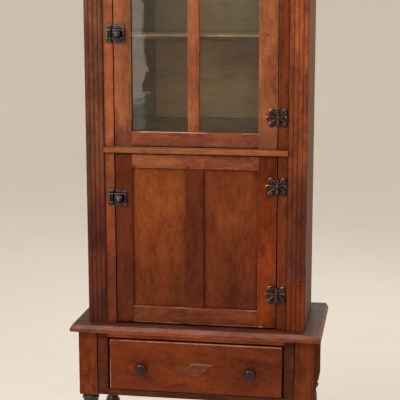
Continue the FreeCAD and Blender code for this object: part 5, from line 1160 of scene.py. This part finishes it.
for which, (cz, ph) in LATZ.items():
    hp = ph / 2
    m = Mesh()
    # a bead round the case's front, a strip down its free side, and a step along each flange
    # the upper and right pieces get more of the high attribute than the lower ones: partly rubbed edges, partly a
    # painted highlight where light from above catches them
    put_slab(m, (LX0 + 0.2, LX1 - 0.2), (-12.9, -10.4), (BOXH - 3.4, BOXH - 0.4), cz, r=0.9, high=0.35)
    put_slab(m, (LX0 + 0.2, LX1 - 0.2), (-12.6, -10.4), (-BOXH + 0.4, -BOXH + 3.2), cz, r=0.9, high=0.0)
    put_slab(m, (LX1 - 3.6, LX1 - 0.4), (-12.9, -10.4), (-BOXH + 0.6, BOXH - 0.4), cz, r=0.9, high=0.25)
    put_slab(m, (LX1 - 4.6, LX1 - 0.3), (-13.3, -10.4), (BOXH - 4.6, BOXH - 0.3), cz, r=1.2, high=0.6)
    put_slab(m, (LX0 + 0.4, LX1 - 0.4), (-3.8, -2.2), (BOXH + 1.2, BOXH + 3.0), cz, r=0.6, high=0.15)
    put_slab(m, (LX0 + 0.4, LX1 - 0.4), (-3.8, -2.2), (-BOXH - 3.0, -BOXH - 1.2), cz, r=0.6)
    put_slab(m, (LX0 + 0.3, LX1 - 0.3), (-3.2, -2.2), (hp - 1.6, hp - 0.3), cz, r=0.4, high=0.1)
    put_slab(m, (LX0 + 0.3, LX1 - 0.3), (-3.2, -2.2), (-hp + 0.3, -hp + 1.6), cz, r=0.4)
    ring = [(6.0, -13.0), (7.2, -13.3), (8.6, -13.0), (9.2, -12.0), (9.4, -10.6), (9.4, -10.3), (6.0, -10.3)]
    v, f = lathe(ring[::-1], (LATX, WOODY, cz), "y", 48, wobble=0.1, seed=3)
    m.add(v, f, "y", edges=False, high=np.full(len(v), 0.05))
    m.build(which + "_latch_case_relief", which + "_door", IRON_L, "latch_iron", sharp=60)
    if which == "lower":
        # two bright spots on the lower latch: partly rubbed metal, partly a painted highlight
        m = Mesh()
        put_slab(m, (LX1 - 6.4, LX1 - 3.0), (-3.7, -2.4), (-hp + 1.9, -hp + 4.3), cz, r=0.6, high=0.9)
        put_slab(m, (LX1 - 3.6, LX1 - 0.9), (-13.4, -10.6), (BOXH - 3.4, BOXH - 0.9), cz, r=0.8, high=0.9)
        m.build("lower_latch_rub_and_highlight_spots", "lower_door", IRON_L, "latch_iron", sharp=60)
    # the upper flanges have a browner, worn skin; the lower flanges a darker one, which is painted shade under the
    # latch box
    for part, z0, z1, skin in (("upper", BOXH + 3.2, hp - 1.8, IRON_B), ("lower", -hp + 1.8, -BOXH - 3.2, IRON_SHADE)):
        m = Mesh()
        put_slab(m, (LX0 + 0.5, LX1 - 0.5), (-2.62, -2.2), (z0, z1), cz, r=0.15, nick=0.05, high=0.08)
        m.build("%s_latch_flange_skin_%s" % (which, part), which + "_door", skin, "latch_iron", sharp=60)
    # the knob, with the arm that draws the bolt
    prof = [(3.0, -3.1), (3.0, -12.4), (5.6, -12.5), (6.0, -13.6), (7.0, -15.0)]
    prof += smooth([(7.0, -15.0), (9.6, -16.2), (11.8, -18.4), (12.9, -21.6), (12.9, -25.0), (11.6, -28.6), (8.8, -31.6), (5.4, -33.1), (0.4, -33.6)], 5)[1:]
    v, f = lathe(prof, (LATX, WOODY, cz), "y", 64, wobble=0.25, seed=int(cz))
    # rubbed bright by the thumb a little right of the middle, which also paints the knob's highlight, and a painted
    # highlight along the upper rim
    dx_, dz_ = v[:, 0] - LATX, v[:, 2] - cz
    rub_and_highlight = 0.95 * np.exp(-((dx_ - 1.2) / 1.5) ** 2 - ((dz_ - 1.0) / 4.6) ** 2) + 0.35 * np.exp(-((dx_ - 5.6) / 1.2) ** 2 - ((dz_ - 2.4) / 3.0) ** 2)
    rub_and_highlight = rub_and_highlight + 0.30 * np.exp(-((np.hypot(dx_, dz_) - 11.2) / 1.3) ** 2) * (dz_ > 3)
    m = Mesh().add(v, f, "y", edges=False, high=np.clip(rub_and_highlight, 0, 1) * (v[:, 1] < WOODY - 18))
    put_slab(m, (-1.7, 1.7), (-7.4, -3.4), (0, 9.6), cz, r=0.5)
    m.build(which + "_latch_knob_turned", which + "_latch_knob", IRON_K, "latch_iron", [which + "_latch_knob"], sharp=60)

m = Mesh()
for which, (cz, ph) in LATZ.items():
    h_ = min(26.0, ph / 2 - 0.5)
    x0, x1 = LX0 - 2.6 - 16.6, LX0 - 2.6
    f0, f1 = x0, x1
    x0, x1 = x0 + 0.8, x1 - 1.6
    # the top and left of each keeper get more of the high attribute: partly rubbed edges, partly a painted highlight
    put_slab(m, (x0 + 0.3, x1 - 0.2), (-11.8, -10.4), (11.0, 14.6), cz, r=0.8, high=0.35)
    put_slab(m, (x0 + 0.3, x1 - 0.2), (-11.8, -10.4), (-14.6, -11.0), cz, r=0.8, high=0.15)
    put_slab(m, (x0 + 0.3, x0 + 3.2), (-11.6, -10.4), (-14.2, 14.2), cz, r=0.8, high=0.25)
    put_slab(m, (f0 + 0.3, f1 - 0.3), (-3.6, -2.2), (16.2, 17.8), cz, r=0.5, high=0.1)
    put_slab(m, (f0 + 0.3, f1 - 0.3), (-3.4, -2.2), (h_ - 1.7, h_ - 0.3), cz, r=0.4, high=0.5, tone=0.6)
    put_slab(m, (f0 + 0.3, f0 + 1.9), (-3.4, -2.2), (16.2, h_ - 0.3), cz, r=0.4, high=0.45, tone=0.4)
    put_slab(m, (f0 + 0.3, f1 - 0.3), (-3.4, -2.2), (-h_ + 0.3, -h_ + 1.5), cz, r=0.4)
m.build("latch_keepers_relief", C, IRON_L, "latch_iron", sharp=60)


# ------------------------------------------------------------------ fittings shown as drawn, with softened edges
def finish_node(node, mat, width=0.35):
    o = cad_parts[node]
    o.data.materials.clear()
    o.data.materials.append(mat)
    w = o.modifiers.new("weld", "WELD")
    w.merge_threshold = 0.00001
    if width:
        b = o.modifiers.new("soft", "BEVEL")
        b.width = width / 1000.0
        b.segments = 2
        b.limit_method = "ANGLE"
        b.angle_limit = math.radians(40)
        b.harden_normals = False


finish_node("hinge_pins", IRON_H, 0.0)
for node in ("upper_latch_case", "lower_latch_case", "latch_keepers", "upper_latch_bolt", "lower_latch_bolt"):
    finish_node(node, IRON_L, 0.6)
for node in ("case_screws", "upper_door_screws", "lower_door_screws"):
    finish_node(node, STEEL, 0.0)

# ------------------------------------------------------------------ floor, light, camera
T = Tree("studio_floor")
pos = T.node("ShaderNodeTexCoord").outputs["Object"]
fc = T.mix(T.noise(pos, 2.0, 4.0), lin(224, 217, 206), lin(231, 225, 215))
fmat = T.surface(Base_Color=fc, Roughness=T.step(T.noise(pos, 7.0, 3.0), 0.3, 0.7, 0.6, 0.75), Specular_IOR_Level=0.2,
                 Normal=T.bump(T.noise(pos, 60.0, 3.0), 0.10, 0.001))
# a flat ground whose edge sweeps up into a pale round backdrop
R0, RF, HW = 7.4, 3.2, 8.4
prof = [(0.0, 0.0), (1.5, 0.0), (3.0, 0.0), (5.2, 0.0), (R0, 0.0)]
prof += [(R0 + RF * math.sin(t), RF * (1 - math.cos(t))) for t in np.radians(np.linspace(6, 90, 15))] + [(R0 + RF, HW)]
SEG = 96
fv, ff = [(0.0, 0.0, 0.0)], []
for r0, h0 in prof[1:]:
    fv += [(r0 * math.cos(2 * math.pi * k / SEG), r0 * math.sin(2 * math.pi * k / SEG), h0) for k in range(SEG)]
for k in range(SEG):
    ff.append([0, 1 + k, 1 + (k + 1) % SEG])
for i in range(len(prof) - 2):
    for k in range(SEG):
        a0, b0 = 1 + i * SEG, 1 + (i + 1) * SEG
        ff.append([a0 + k, b0 + k, b0 + (k + 1) % SEG, a0 + (k + 1) % SEG])
me = bpy.data.meshes.new("floor")
me.from_pydata(fv, [], ff)
me.shade_smooth()
me.materials.append(fmat)
floor = bpy.data.objects.new("floor", me)
bpy.context.scene.collection.objects.link(floor)

world = bpy.data.worlds.new("studio")
bpy.context.scene.world = world
world.use_nodes = True
bg = world.node_tree.nodes["Background"]
bg.inputs[0].default_value = (1.0, 0.97, 0.93, 1)
bg.inputs[1].default_value = 0.95


def area(name, loc, target, size, power, colour=(1, 1, 1)):
    d = bpy.data.lights.new(name, "AREA")
    d.shape = "RECTANGLE"
    d.size, d.size_y = size
    d.energy = power
    d.color = colour
    o = bpy.data.objects.new(name, d)
    bpy.context.scene.collection.objects.link(o)
    o.location = loc
    o.rotation_euler = (Vector(target) - Vector(loc)).to_track_quat("-Z", "Y").to_euler()
    o.visible_camera = False
    return o


area("key", (-1.7, -2.1, 2.65), (0, 0, 1.25), (1.1, 1.1), 46, (1.0, 0.97, 0.93))
area("fill", (2.4, -2.6, 2.2), (0, 0, 1.1), (1.4, 1.6), 12, (1.0, 0.95, 0.9))
area("back", (0.8, 2.6, 2.9), (0, 0, 1.2), (2.0, 1.4), 26, (1.0, 0.97, 0.93))
area("window", (-1.07, -3.5, 1.479), (-1.07, 0, 1.479), (0.36, 1.042), 3.4, (1.0, 0.83, 0.72))
area("window_low", (-1.05, -3.5, 0.874), (-1.05, 0, 0.874), (0.34, 0.17), 0.17, (0.98, 0.94, 1.0))
area("catch", (-0.15, -2.3, 3.1), (0, 0, 0.8), (0.9, 0.30), 8.0, (1.0, 0.98, 0.96))

cam = bpy.data.cameras.new("camera")
cam.sensor_width = 36.0
cam.lens = 1150.0 / 400.0 * 36.0
cam.clip_start, cam.clip_end = 0.05, 60.0
co = bpy.data.objects.new("camera", cam)
bpy.context.scene.collection.objects.link(co)
yaw, pitch, roll = 0.1675, -0.1805, -0.0012
fwd = Vector((-math.sin(yaw) * math.cos(pitch), math.cos(yaw) * math.cos(pitch), math.sin(pitch)))
right = Vector((math.cos(yaw), math.sin(yaw), 0))
up = right.cross(fwd)
r_ = math.cos(roll) * right + math.sin(roll) * up
u_ = -math.sin(roll) * right + math.cos(roll) * up
M = Matrix((r_, u_, -fwd)).transposed().to_4x4()
M.translation = Vector((0.572933, -3.440108, 1.609792))
co.matrix_world = M
bpy.context.scene.camera = co
bpy.context.scene.view_settings.view_transform = "Standard"
bpy.context.scene.view_settings.look = "None"

bpy.context.view_layer.update()
